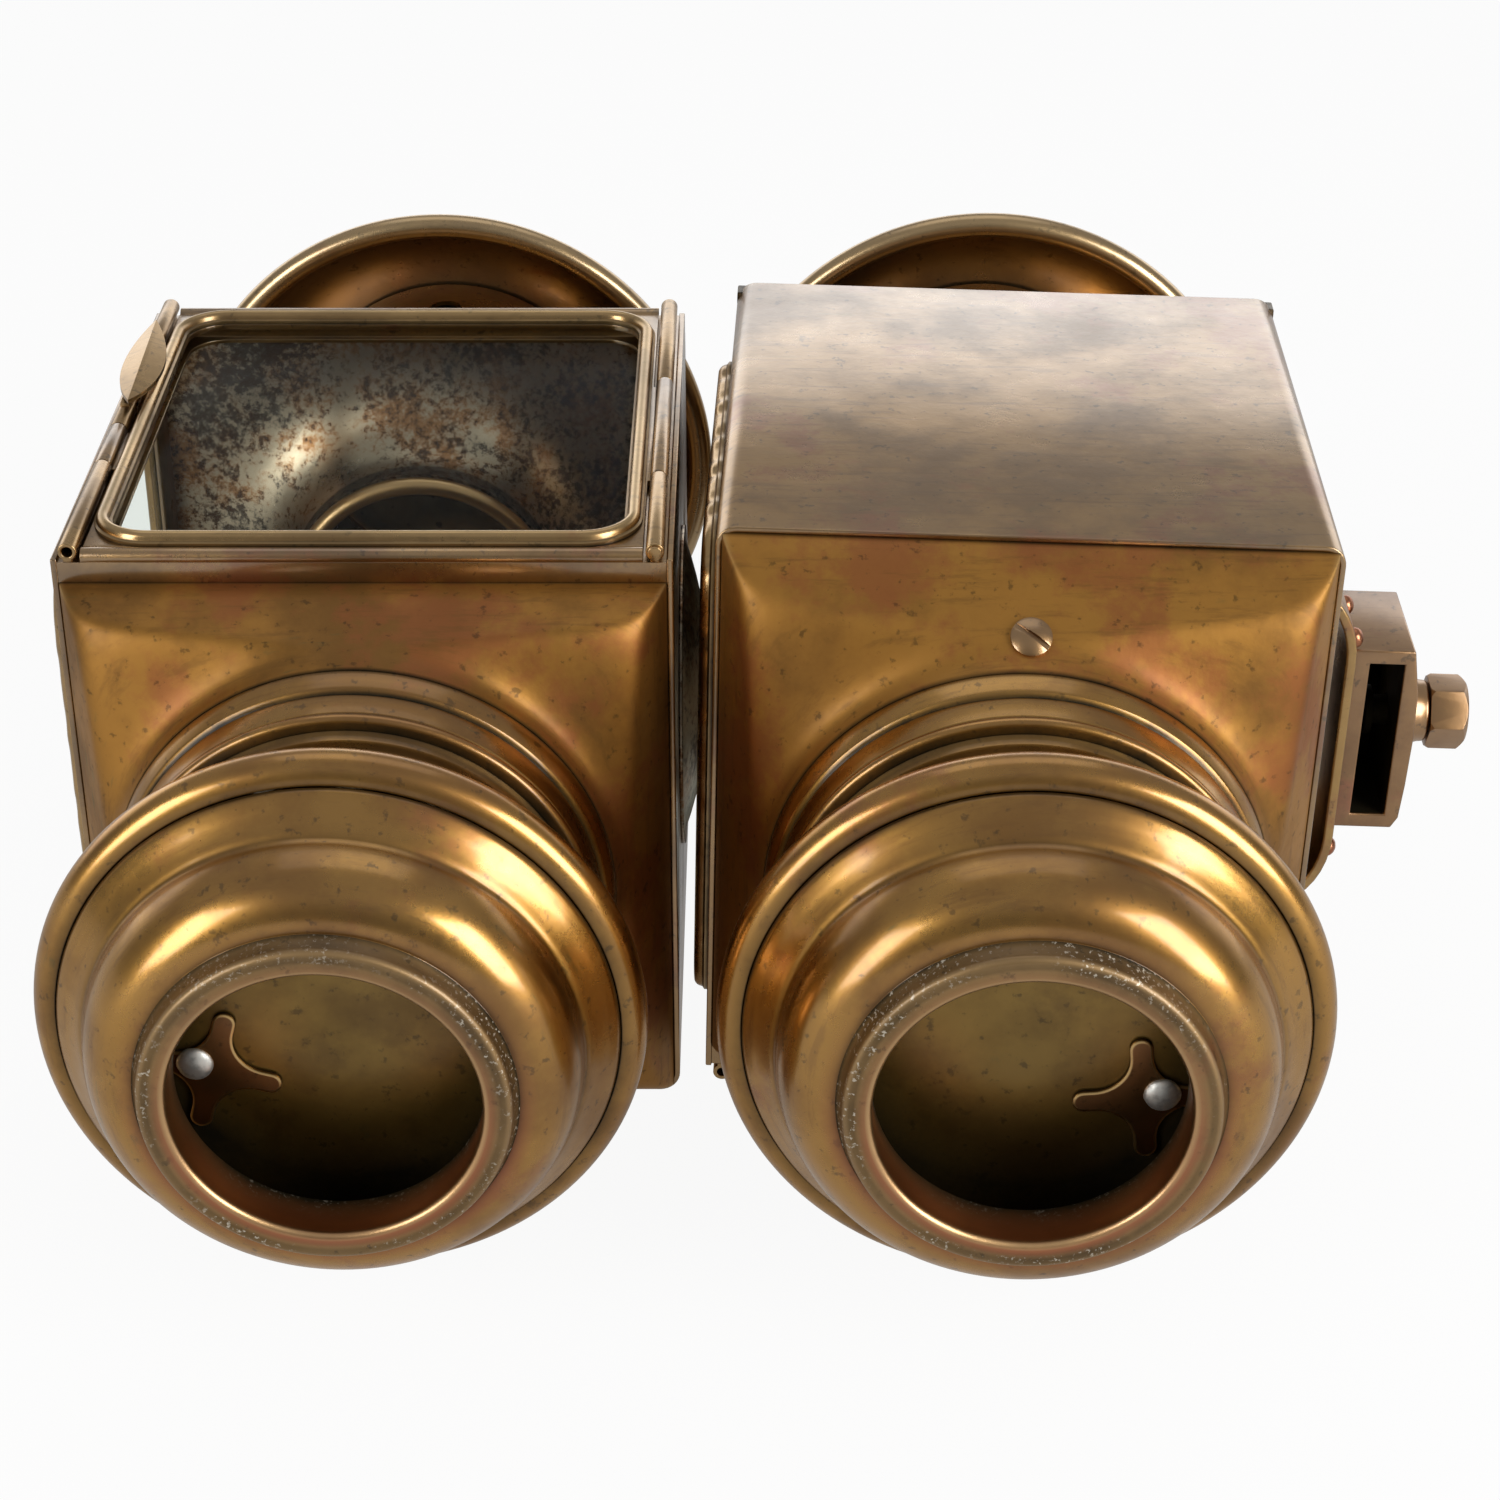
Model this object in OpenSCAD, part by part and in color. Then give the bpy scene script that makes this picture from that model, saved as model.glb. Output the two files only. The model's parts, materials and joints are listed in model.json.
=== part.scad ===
// A pair of square brass side lamps for oil, lying side by side on their casings.
// Each lamp is drawn once in its own frame: the lamp's axis is Y, the burner well is
// at -Y, the chimney at +Y, the glazed door faces +Z and the side window faces -X.
// The second lamp is the mirror image of the first, laid door side down.

/* [Casing] */
// Width of the casing over its side walls
casing_w = 114; // [104:1:126]
// Length of the casing along the lamp's axis
casing_l = 120; // [112:1:132]
// Distance from the lamp's axis to the outside of the back panel
back_depth = 62; // [60:0.5:68]
// Distance from the lamp's axis to the top of the door plate
door_level = 58; // [56:0.5:64]
// Thickness of the folded casing sheet
sheet = 1.2; // [0.8:0.1:1.8]
// Outside radius of the casing's folded back corners
fold_r = 4; // [2:0.5:8]

/* [Door] */
// Distance from the casing's side to the glass opening in the door
door_side = 9.3; // [8.6:0.1:17]
// Distance from the casing's foot edge to the glass opening in the door
door_foot = 6.4; // [5.8:0.1:14]
// Distance from the casing's head edge to the glass opening in the door
door_head = 9.2; // [8.6:0.1:17]
// Corner radius of the glass opening
sight_r = 8; // [4:0.5:16]
// Width of the raised bezel round a glass opening
bezel_band = 3.4; // [2:0.1:3.6]
// Height of the raised bezel
bezel_h = 2.6; // [1.5:0.1:3.2]
// Thickness of a bevelled pane
pane = 2.2; // [1.5:0.1:3]
// Width of the bevel round a pane
bevel_w = 5; // [2:0.5:9]
// Outside radius of the hinge and latch tubes
tube_r = 1.75; // [1.5:0.05:2.2]
// Radius of the hinge pin and the latch rod
pin_r = 1; // [0.7:0.05:1.2]
// Distance from the casing's side to the centre of a tube
tube_inset = 3.3; // [3.1:0.1:3.8]
// Distance from the foot edge to the first joint in the hinge tube
hinge_foot = 31.8; // [24:0.2:40]
// Distance from the head edge to the last joint in the hinge tube
hinge_head = 42.4; // [34:0.2:50]
// Distance from the foot edge to the first joint in the latch tube
latch_foot = 37; // [28:0.2:42]
// Length of the door's own knuckle in the latch tube
latch_knuckle = 17.6; // [12:0.2:22]
// Distance from the head edge to the last joint in the latch tube
latch_head = 20.4; // [14:0.2:24]
// Length of the leaf on the door latch
leaf_l = 36; // [24:1:42]
// Width of the leaf on the door latch
leaf_w = 8.4; // [6:0.2:9]
// Slope of the leaf in degrees
leaf_slope = 4; // [2:0.5:10]

/* [Side window] */
// Distance from the casing's back to the side window's glass opening
window_back = 13; // [11:0.5:25]
// Distance from the door's level to the side window's glass opening
window_front = 13; // [11:0.5:25]
// Distance from the casing's foot edge to the side window's glass opening
window_foot = 12; // [9:0.5:22]
// Distance from the casing's head edge to the side window's glass opening
window_head = 18; // [14:0.5:28]
// Width of the side window's bezel
window_band = 5; // [3:0.5:6]
// Height of the side window's bezel
window_bezel_h = 3; // [2:0.1:3.2]

/* [Foot end] */
// Length of the square to round shoulder
shoulder_l = 22.4; // [18:0.2:30]
// Depth of the flat rail between the door and the shoulder
rail_h = 5.7; // [4:0.1:8]
// Outside radius of the collar
collar_r = 46.2; // [44:0.2:50]
// Length of the stepped collar
collar_l = 13; // [12:0.2:18]
// Radius of the skirt at its neck
neck_r = 40.4; // [39:0.2:41.6]
// Outside radius of the skirt's rolled rim
rim_r = 53.3; // [51:0.1:56]
// Radius of the roll on a rim
roll_r = 2.7; // [2:0.1:3]
// Length of the skirt from the collar to the middle of its roll
skirt_l = 26.7; // [24:0.1:32]
// Thickness of the spun sheet
spun = 1; // [0.7:0.1:1.4]

/* [Burner well] */
// Gap between the skirt's roll and the middle of the base dome's edge
air_gap = 2.8; // [1.5:0.1:4]
// Outside radius of the base dome
dome_r = 49.4; // [47:0.1:51]
// Radius of the dome's upright wall
dome_wall_r = 42.9; // [40:0.1:44]
// Depth of the dome from the middle of its edge to the ring
dome_l = 19.8; // [16:0.2:26]
// Outside radius of the ring round the well's mouth
ring_r = 31.4; // [30:0.1:33]
// Radius of the well's mouth
well_r = 26.45; // [24:0.05:28]
// Height of the ring over the dome
ring_h = 3.8; // [2.6:0.1:6]
// Outside radius of the sleeve on which the base turns
sleeve_r = 33; // [31:0.1:35]
// Length of the sleeve
sleeve_l = 34; // [30:1:40]
// Running clearance between turning pieces
running = 0.06; // [0.03:0.01:0.09]
// Number of air holes in the baffle
air_holes = 12; // [6:1:16]
// Diameter of an air hole
air_hole_d = 5; // [3:0.5:6]
// Distance from the casing to the slotted screw on the shoulder
slotted_drop = 15.7; // [10:0.1:18]
// Radius of the star spring over its arms
star_r = 12.4; // [9:0.2:14]
// Number of arms of the star spring
star_arms = 4; // [4:1:6]
// Distance of the star spring from the lamp's axis
star_offset = 24; // [20:0.2:28]
// Radius of the star spring's rivet head
star_rivet_r = 3.3; // [2.5:0.1:4]

/* [Chimney] */
// Outside radius of the flue's rolled mouth
flue_r = 29.2; // [27:0.1:31]
// Distance the flue reaches down into the casing
flue_drop = 26.5; // [20:0.5:34]
// Length of the flue
flue_l = 68; // [55:1:80]
// Outside radius of the chimney neck
chimney_r = 37.3; // [35:0.1:40]
// Distance from the casing to the round end of the upper shoulder
upper_l = 21; // [16:0.5:28]
// Width of the hem on the upper shoulder
hem_w = 4.4; // [3:0.2:7]
// Distance from the casing to the middle of the cap's roll
cap_rise = 46.9; // [42:0.1:52]
// Outside radius of the umbrella cap
cap_r = 62; // [58:0.1:62]
// Depth of the umbrella cap from its roll to the chimney
cap_depth = 20; // [15:0.5:26]
// Height of the crown over the cap
crown_h = 15; // [8:0.5:22]
// Number of smoke holes in the chimney neck
smoke_holes = 12; // [6:1:16]
// Diameter of a smoke hole
smoke_hole_d = 7; // [4:0.5:8]

/* [Bracket] */
// Distance from the foot edge to the middle of the dish and the bracket's pad
dish_y = 57; // [50:0.5:62]
// Radius of the dish pressed out of the inboard side
dish_r = 30; // [24:0.5:32]
// Depth of the dish
dish_h = 5; // [3:0.1:6]
// Height of the bracket's arched pad over the casing side
pad_h = 11; // [9:0.2:14]
// Height of the pad along the casing
pad_w = 74; // [70:1:80]
// Length of the pad along the lamp's axis
pad_l = 45; // [38:1:52]
// Height of the curve at each foot of the pad
pad_bend = 16; // [12:0.5:17]
// Thickness of the pad
pad_t = 2; // [1.5:0.1:2.8]
// Length of the socket along the lamp's axis
socket_l = 26.4; // [24:0.2:32]
// How far the socket sits ahead of the pad's middle
socket_lead = 6; // [0:0.2:8]
// Inside width of the socket's slot
slot_w = 6.9; // [5:0.1:9]
// Inside height of the socket's slot
slot_h = 34.4; // [26:0.2:38]
// Thickness of the socket's outer wall
socket_t = 3.4; // [2.6:0.1:4.5]
// Thickness of the socket's end walls
socket_end = 3; // [2:0.1:4]
// Shift of the socket towards the back panel
socket_shift = 1.2; // [0:0.1:3]
// Length of the boss for the set screw
boss_l = 4.4; // [3:0.2:8]
// Radius of the boss
boss_r = 7.1; // [6.2:0.1:8]
// Radius of the set screw's shank
screw_r = 3; // [2.4:0.1:3.6]
// Radius of the clamp shoe at the set screw's tip
shoe_r = 5; // [4:0.1:6.5]
// Width of the set screw's hexagon across its corners
hex_d = 15.2; // [13:0.2:17]
// Thickness of the set screw's hexagon
hex_h = 7.6; // [5:0.1:9]

/* [Second lamp] */
// Distance between the two lamps' axes at the front of their casings
pair_pitch = 120.4; // [119.6:0.1:136]
// How far the second lamp lies ahead of the first
pair_stagger = 5.6; // [0:0.1:12]
// Height of the second lamp's axis over the table
second_axis_h = 64.4; // [64.2:0.1:70]
// Turn of the second lamp about the vertical in degrees
second_yaw = 1.76; // [1:0.01:3]
// Roll of the second lamp about its axis in degrees
second_roll = 1.26; // [0:0.01:2]
// Turn of the first lamp's base about its axis in degrees
first_base_turn = 200; // [0:1:359]
// Turn of the second lamp's base about its axis in degrees
second_base_turn = 29; // [0:1:359]

/* [Hidden] */
$fn = 72;
eps = 0.01;
arc_steps = 8;

half_w = casing_w / 2;
inner_x = half_w - sheet;
inner_back = back_depth - sheet;
lip = 1;
seat_gap = 0.3;

// Door: the plate's top is door_level, the ledge carries it, the tubes flank it.
door_plate = 1.2;
door_under = door_level - door_plate;
ledge_top = door_under - 0.4;
ledge_w = 5.6;
ledge_t = 1;
wall_top = door_level - 1;
tube_x = half_w - tube_inset;
tube_z = ledge_top + tube_r + seat_gap;
plate_half = tube_x - tube_r - 0.5;
strip_r = 1.6;
plate_end = 2 * strip_r + seat_gap;
door_mid = (casing_l + door_foot - door_head) / 2;
door_sight_w = casing_w - 2 * door_side;
door_sight_l = casing_l - door_foot - door_head;
channel_t = 0.8;
pane_seat_w = 1.5;
pane_half_w = door_sight_w / 2 + pane_seat_w;
pane_half_l = door_sight_l / 2 + pane_seat_w;
pin_end = 0.8;

// Places of the knuckles along each tube, from the foot end of the casing.
knuckle_gap = 0.3;
hinge_cuts = [hinge_foot, casing_l - hinge_head];
latch_cuts = [latch_foot, latch_foot + latch_knuckle, casing_l - latch_head];

// Side window
window_w = back_depth + door_level - window_back - window_front;
window_l = casing_l - window_foot - window_head;
window_mid_z = (door_level - window_front - back_depth + window_back) / 2;
window_mid_y = (casing_l + window_foot - window_head) / 2;

// Foot end: y positions, counted from the front edge of the casing at zero.
shoulder_top = door_level - rail_h;
shoulder_rim_l = 2.5;
collar_y = -shoulder_l;
skirt_y = collar_y - collar_l;
rim_y = skirt_y - skirt_l;
rim_mid_r = rim_r - roll_r;
edge_r = 0.9;
dome_y = rim_y - roll_r - air_gap;
plate_y = dome_y + edge_r - spun;
plate_r = dome_r - edge_r - 1.2;
crease_y = dome_y - 6.9;
cove_r = ring_r + 1.2;
dome_end = dome_y - dome_l;
mouth_y = dome_end - ring_h;
ring_wall_l = ring_h + 3;
guide_t = 1.1;
guide_l = 20;
baffle_y = collar_y - 0.72 * collar_l;
collar_in_r = collar_r - 3.2;
air_ring_r = (sleeve_r + guide_t + collar_in_r) / 2;
star_t = 1;
star_tilt = -54.5;
star_core = 0.36 * star_r;

// Chimney end
flue_y = casing_l - flue_drop;
flue_roll = 1.9;
flue_tube_r = flue_r - spun;
reflector_t = 0.8;
reflector_y = casing_l - 5.7;
reflector_cove = 22;
upper_lip = 1.2;
upper_y = casing_l + upper_l;
cap_y = casing_l + cap_rise;
cap_mid_r = cap_r - roll_r;
crown_y = cap_y + cap_depth;
smoke_y = crown_y - 14;

// Bracket
dish_flange = 3;
pad_top_x = half_w + pad_h;
socket_x = pad_top_x;
socket_y = dish_y - socket_lead;
slot_x = socket_x + socket_t;
socket_out_x = slot_x + slot_w + socket_t;
socket_half_h = slot_h / 2 + socket_end;
shoe_t = 1.6;
shoe_out = 3.2;
shoe_pin_r = 1.5;
web_t = 2;
shoe_pin_l = 1;
shoe_x = slot_x + slot_w - shoe_out - shoe_t;
rivet_r = 2;
rivet_edge = 3.7;
rivet_rise = 13;
rivet_step = 14;
slotted_r = 3.75;
slotted_y = -slotted_drop;

// ---- Places of the two lamps ----

module first_lamp() translate([0, -casing_l / 2, back_depth]) children();

module second_lamp()
    translate([pair_pitch, -casing_l / 2 - pair_stagger, second_axis_h])
        rotate([0, second_roll, -second_yaw])
            mirror([0, 0, 1]) children();

module first_base() first_lamp() turned(first_base_turn) children();

module second_base() second_lamp() turned(second_base_turn) children();

// Turns about the lamp's axis, from +X towards +Z.
module turned(angle) rotate([0, -angle, 0]) children();

// ---- Shared shapes ----

// Points of an arc round c, in equal steps from angle a to angle b.
function arc(c, r, a, b, steps = arc_steps) =
    [for (i = [0:steps]) let (t = a + (b - a) * i / steps) c + r * [cos(t), sin(t)]];

// Points of an ellipse's quarter from angle a to angle b.
function quarter(c, rx, ry, a, b, steps = arc_steps) =
    [for (i = [0:steps]) let (t = a + (b - a) * i / steps) c + [rx * cos(t), ry * sin(t)]];

function unit(v) = v / norm(v);

function side_of(a, b) = let (d = unit(b - a)) [-d[1], d[0]];

// The offset of point i of a path by t to its left, mitred at the corners.
function mitre(path, i, t) =
    let (
        last = len(path) - 1,
        before = i > 0 ? side_of(path[i - 1], path[i]) : side_of(path[0], path[1]),
        after = i < last ? side_of(path[i], path[i + 1]) : before,
        mean = unit(before + after)
    ) path[i] + mean * t / (mean * before);

// A closed outline of one sheet that follows a path, t thick on the path's left.
function sheet_outline(path, t) =
    concat(path, [for (i = [len(path) - 1:-1:0]) mitre(path, i, t)]);

// Spins an outline of radius and axial place about the lamp's axis.
module spin(outline) rotate([-90, 0, 0]) rotate_extrude() polygon(outline);

// A straight round bar along the lamp's axis.
module bar(r, from, to) translate([0, from, 0]) rotate([-90, 0, 0]) cylinder(r = r, h = to - from);

module rounded_rect(w, h, r) {
    square([w - 2 * r, h], center = true);
    square([w, h - 2 * r], center = true);
    for (x = [-1, 1], y = [-1, 1])
        translate([x * (w / 2 - r), y * (h / 2 - r)]) circle(r = r);
}

// A raised frame round an opening, with a narrower rounded top step.
module bezel(w, h, r, band, height) {
    step = 0.18 * band;
    linear_extrude(0.6 * height) difference() {
        rounded_rect(w + 2 * band, h + 2 * band, r + band);
        rounded_rect(w, h, r);
    }
    linear_extrude(height) difference() {
        rounded_rect(w + 2 * (band - step), h + 2 * (band - step), r + band - step);
        rounded_rect(w + 2 * step, h + 2 * step, r + step);
    }
}

// A pane with a bevel all round its outer face.
module bevelled_pane(w, h, t) {
    edge = 0.45 * t;
    hull() {
        translate([-w / 2, -h / 2, 0]) cube([w, h, edge]);
        translate([bevel_w - w / 2, bevel_w - h / 2, 0]) cube([w - 2 * bevel_w, h - 2 * bevel_w, t]);
    }
}

// One cross-section of a square to round shoulder: a superellipse of half sizes a and b
// round the height z, with the power that makes it square or round.
function section(y, a, b, z, power, count) =
    [for (i = [0:count - 1])
        let (
            t = 360 * i / count,
            r = pow(pow(abs(cos(t) / a), power) + pow(abs(sin(t) / b), power), -1 / power)
        ) [r * cos(t), y, z + r * sin(t)]];

// Blends a rectangle at y0 into a circle at y1, as sections of the given inset.
function shoulder_sections(y0, y1, a, top, back, r, inset, count, rings) =
    [for (k = [0:rings])
        let (
            s = k / rings,
            ease = s * s * (3 - 2 * s),
            half = (top + back) / 2 - inset,
            mid = (top - back) / 2
        ) section(
            y0 + (y1 - y0) * s,
            (a - inset) * (1 - ease) + (r - inset) * ease,
            half * (1 - ease) + (r - inset) * ease,
            mid * (1 - ease),
            24 * pow(1 - s, 3) + 2, count)];

// A shell between an outer and an inner stack of sections.
module shoulder(y0, y1, a, top, back, r, t, count = 40, rings = 7) {
    outer = shoulder_sections(y0, y1, a, top, back, r, 0, count, rings);
    inner = shoulder_sections(y0, y1, a, top, back, r, t, count, rings);
    points = [for (stack = [outer, inner], ring = stack, p = ring) p];
    skin = (rings + 1) * count;
    flip = y1 < y0;
    function quad(a, b, c, d, swap) = swap ? [[a, b, c], [a, c, d]] : [[a, c, b], [a, d, c]];
    faces = [
        for (k = [0:rings - 1], i = [0:count - 1], q = [0, 1])
            let (
                j = (i + 1) % count,
                from = k * count,
                to = from + count
            ) each (q == 0
                ? quad(from + i, from + j, to + j, to + i, !flip)
                : quad(skin + from + i, skin + from + j, skin + to + j, skin + to + i, flip)),
        for (i = [0:count - 1], k = [0, rings])
            let (j = (i + 1) % count, at = k * count)
                each quad(at + i, at + j, skin + at + j, skin + at + i, k == 0 ? flip : !flip)
    ];
    polyhedron(points, faces, convexity = 6);
}

// ---- Casing and its fittings ----

module casing() color("#8a6a3c") {
    outline = sheet_outline(concat(
        [[-half_w, wall_top]],
        arc([-half_w + fold_r, fold_r - back_depth], fold_r, 180, 270),
        arc([half_w - fold_r, fold_r - back_depth], fold_r, 270, 360),
        [[half_w, wall_top]]), sheet);
    difference() {
        translate([0, casing_l, 0]) rotate([90, 0, 0]) linear_extrude(casing_l) polygon(outline);
        window_opening();
        translate([inner_x - lip, dish_y, 0]) rotate([0, 90, 0]) cylinder(r = dish_r, h = sheet + 2 * lip);
    }
}

// The frame let into the casing's front: two ledges, two rails and their half-round strips.
module door_seat() color("#8a6a3c") {
    for (side = [-1, 1])
        translate([side > 0 ? inner_x - ledge_w : -inner_x, 0, ledge_top - ledge_t])
            cube([ledge_w, casing_l, ledge_t]);
    front_rails();
}

// The rails that close the front edges, each with a half-round strip.
module front_rails() {
    for (y = [0, casing_l - sheet])
        translate([-inner_x, y, shoulder_top]) cube([2 * inner_x, sheet, ledge_top - shoulder_top]);
    for (y = [strip_r, casing_l - strip_r]) {
        translate([-plate_half, y, ledge_top + strip_r - ledge_t]) rotate([0, 90, 0])
            cylinder(r = strip_r, h = 2 * plate_half);
        translate([-inner_x, y - strip_r, ledge_top - ledge_t]) cube([2 * inner_x, 2 * strip_r, ledge_t]);
    }
}

module window_place() translate([-half_w, window_mid_y, window_mid_z]) rotate([0, -90, 0]) children();

module window_opening()
    window_place() translate([0, 0, -sheet - lip]) linear_extrude(sheet + 2 * lip)
        rounded_rect(window_w, window_l, sight_r);

module window_bezel() color("#6e5534")
    window_place() bezel(window_w, window_l, sight_r, window_band, window_bezel_h);

module window_glass() color("#dfe8e6", 0.35)
    window_place() translate([0, 0, -sheet]) mirror([0, 0, 1])
        bevelled_pane(window_w + 2 * pane_seat_w, window_l + 2 * pane_seat_w, pane);

// A shallow dish in the inboard side, silvered inside like the reflector.
module side_dish() color("#7b6a4d") {
    ball_r = (dish_r * dish_r + dish_h * dish_h) / (2 * dish_h);
    reach = asin(dish_r / ball_r);
    cap = arc([0, dish_h - ball_r], ball_r, 90 - reach, 90);
    outline = sheet_outline(concat([[dish_r + dish_flange, 0]], cap), reflector_t);
    translate([half_w + reflector_t, dish_y, 0]) rotate([0, 90, 0]) rotate_extrude()
        polygon([for (p = outline) [max(p[0], 0), p[1]]]);
}

// A fixed knuckle on the tube line at x, on its foot on the ledge.
module knuckle(x, from, to) translate([x, 0, tube_z]) difference() {
    union() {
        bar(tube_r, from, to);
        translate([-0.5 * tube_r, from, ledge_top - tube_z]) cube([tube_r, to - from, tube_z - ledge_top]);
    }
    bar(pin_r, from - lip, to + lip);
}

module frame_tubes() color("#9a8062") {
    knuckle(tube_x, 0, hinge_cuts[0]);
    knuckle(tube_x, hinge_cuts[1], casing_l);
    knuckle(-tube_x, 0, latch_cuts[0]);
    knuckle(-tube_x, latch_cuts[2], casing_l);
}

module hinge_pin() color("#b08d57") translate([tube_x, 0, tube_z]) {
    bar(pin_r, -pin_end, casing_l + pin_end);
    for (y = [-pin_end, casing_l]) bar(1.4 * pin_r, y, y + pin_end);
}

// ---- Door ----

module door_frame() color("#4f4a35") {
    hinge_from = hinge_cuts[0] + knuckle_gap;
    hinge_to = hinge_cuts[1] - knuckle_gap;
    latch_from = latch_cuts[0] + knuckle_gap;
    latch_to = latch_cuts[1] - knuckle_gap;
    difference() {
        union() {
            door_plate();
            door_knuckle(tube_x, hinge_from, hinge_to);
            mirror([1, 0, 0]) door_knuckle(tube_x, latch_from, latch_to);
        }
        translate([tube_x, 0, tube_z]) bar(pin_r + running, hinge_from - lip, hinge_to + lip);
        translate([-tube_x, 0, tube_z]) bar(pin_r + running, latch_from - lip, latch_to + lip);
    }
    pane_channel();
}

module door_plate()
    translate([0, door_mid, door_under]) linear_extrude(door_plate) difference() {
        translate([-plate_half, plate_end - door_mid])
            square([2 * plate_half, casing_l - 2 * plate_end]);
        rounded_rect(door_sight_w, door_sight_l, sight_r);
    }

// A knuckle on the tube at x, with the web that ties it to the plate.
module door_knuckle(x, from, to) {
    translate([x, 0, tube_z]) bar(tube_r, from, to);
    translate([plate_half - lip, from, door_under]) cube([x - plate_half + lip, to - from, door_plate]);
}

// The folded channel under the plate that grips the pane.
module pane_channel() {
    outer_w = 2 * (pane_half_w + channel_t);
    outer_l = 2 * (pane_half_l + channel_t);
    depth = pane + channel_t;
    translate([0, door_mid, door_under - depth]) difference() {
        translate([-outer_w / 2, -outer_l / 2, 0]) cube([outer_w, outer_l, depth]);
        translate([-pane_half_w, -pane_half_l, channel_t]) cube([2 * pane_half_w, 2 * pane_half_l, depth]);
        translate([0, 0, -lip]) linear_extrude(depth) rounded_rect(door_sight_w, door_sight_l, sight_r);
    }
}

module door_bezel() color("#9a8062")
    translate([0, door_mid, door_level])
        bezel(door_sight_w, door_sight_l, sight_r, bezel_band, bezel_h);

module door_glass() color("#dfe8e6", 0.35)
    translate([0, door_mid, door_under - pane])
        bevelled_pane(2 * pane_half_w, 2 * pane_half_l, pane);

// The leaf-shaped thumb piece on its sleeve, with the rod that turns in the door.
module door_latch() color("#a89274") {
    sleeve_from = latch_cuts[1];
    sleeve_to = latch_cuts[2] - knuckle_gap;
    leaf_from = sleeve_from + 5;
    leaf_bed = tube_z + tube_r + 0.3;
    translate([-tube_x, 0, tube_z]) {
        bar(pin_r, latch_cuts[0] + knuckle_gap, sleeve_from + lip);
        bar(tube_r, sleeve_from, sleeve_to);
    }
    translate([1.4 - tube_x, leaf_from, leaf_bed]) rotate([leaf_slope, 0, 0]) leaf();
    translate([-tube_x - 0.9, leaf_from + 3, tube_z])
        rotate([90, 0, 90]) linear_extrude(1.8)
            polygon([[0, 0], [24, 0], [24, leaf_bed - tube_z + 27 * tan(leaf_slope)],
                [0, leaf_bed - tube_z + 3 * tan(leaf_slope)]]);
}

// A pointed leaf with a ridge along its middle.
module leaf() {
    half_l = leaf_l / 2;
    half = leaf_w / 2;
    bow = (half_l * half_l + half * half) / leaf_w;
    ridge = 1.5;
    thick = 0.9;
    intersection() {
        translate([0, half_l, 0]) linear_extrude(6) intersection() {
            translate([bow - half, 0]) circle(r = bow);
            translate([half - bow, 0]) circle(r = bow);
        }
        translate([0, leaf_l, 0]) rotate([90, 0, 0]) linear_extrude(leaf_l)
            polygon([[-half, 0], [0, ridge], [half, 0], [half, thick], [0, ridge + thick], [-half, thick]]);
    }
}

// ---- Foot end ----

// The straight rim by which a shoulder sits inside the casing.
module shoulder_rim() {
    height = shoulder_top + inner_back;
    translate([0, shoulder_rim_l, shoulder_top - height / 2]) rotate([90, 0, 0])
        linear_extrude(shoulder_rim_l) difference() {
            rounded_rect(2 * inner_x, height, fold_r - sheet);
            rounded_rect(2 * (inner_x - sheet), height - 2 * sheet, fold_r - sheet);
        }
}

module lower_shoulder() color("#94703a") difference() {
    union() {
        shoulder(0, collar_y, inner_x, shoulder_top, inner_back, collar_r, sheet);
        shoulder_rim();
    }
    slotted_place() translate([0, 0, -4]) cylinder(r = 1.6, h = 8);
    slotted_place() cylinder(r = slotted_r + 0.1, h = 4);
    translate([half_w - 6, -5, 0]) rotate([0, 90, 0]) cylinder(r = 3, h = 12);
}

// The place of the slotted screw on the shoulder's back facet.
module slotted_place() {
    s = -slotted_y / shoulder_l;
    ease = s * s * (3 - 2 * s);
    depth = (inner_back * (1 - ease) + collar_r * ease);
    lean = atan((inner_back - collar_r) * 6 * s * (1 - s) / shoulder_l);
    translate([0, slotted_y, -depth]) rotate([180 - lean, 0, 0]) children();
}

module shoulder_screw() color("#b9975a") slotted_place() difference() {
    union() {
        intersection() {
            cylinder(r = slotted_r, h = 2.4);
            translate([0, 0, 2.4 - 2 * slotted_r]) sphere(r = 2 * slotted_r);
        }
        translate([0, 0, -3]) cylinder(r = 1.5, h = 3 + eps);
    }
    rotate(35) translate([-slotted_r - lip, -0.5, 1.3]) cube([2 * (slotted_r + lip), 1, 2]);
}

module collar() color("#a97e40") {
    band = collar_r - 1.2;
    step = collar_r - 2.5;
    bead = 1.2;
    neck_at = [neck_r + 0.9 + bead, skirt_y + bead];
    spin(concat(
        [[collar_in_r, collar_y], [collar_r, collar_y], [collar_r, collar_y - 0.9]],
        arc([band - 0.9, collar_y - 3.4], 1, 60, -40, 4),
        [[step, collar_y - 4.6], [step + 0.3, collar_y - 5.2], [step - 0.2, collar_y - 0.62 * collar_l],
            [step - 0.5, skirt_y + 2.2 * bead]],
        arc(neck_at, bead, 60, -90),
        [[neck_r, skirt_y], [collar_in_r, baffle_y]]));
}

// The skirt's flare follows a power curve from the neck to the roll.
module skirt() color("#9b7a3e") {
    flare_y = skirt_y - 2.5;
    flare_l = flare_y - rim_y - 1.8;
    flare_w = rim_mid_r - 2.2 - neck_r;
    steps = 14;
    path = concat(
        [[neck_r + 0.9, skirt_y], [neck_r + 0.9, skirt_y - 0.4], [neck_r + 0.3, skirt_y - 1.3]],
        [for (i = [0:steps]) let (t = i / steps) [neck_r + flare_w * pow(t, 1.6), flare_y - flare_l * t]]);
    inner = sheet_outline(path, -spun);
    spin(concat(path, arc([rim_mid_r, rim_y], roll_r, 141, -172, 24),
        [for (i = [len(path):len(inner) - 1]) inner[i]]));
}

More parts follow.
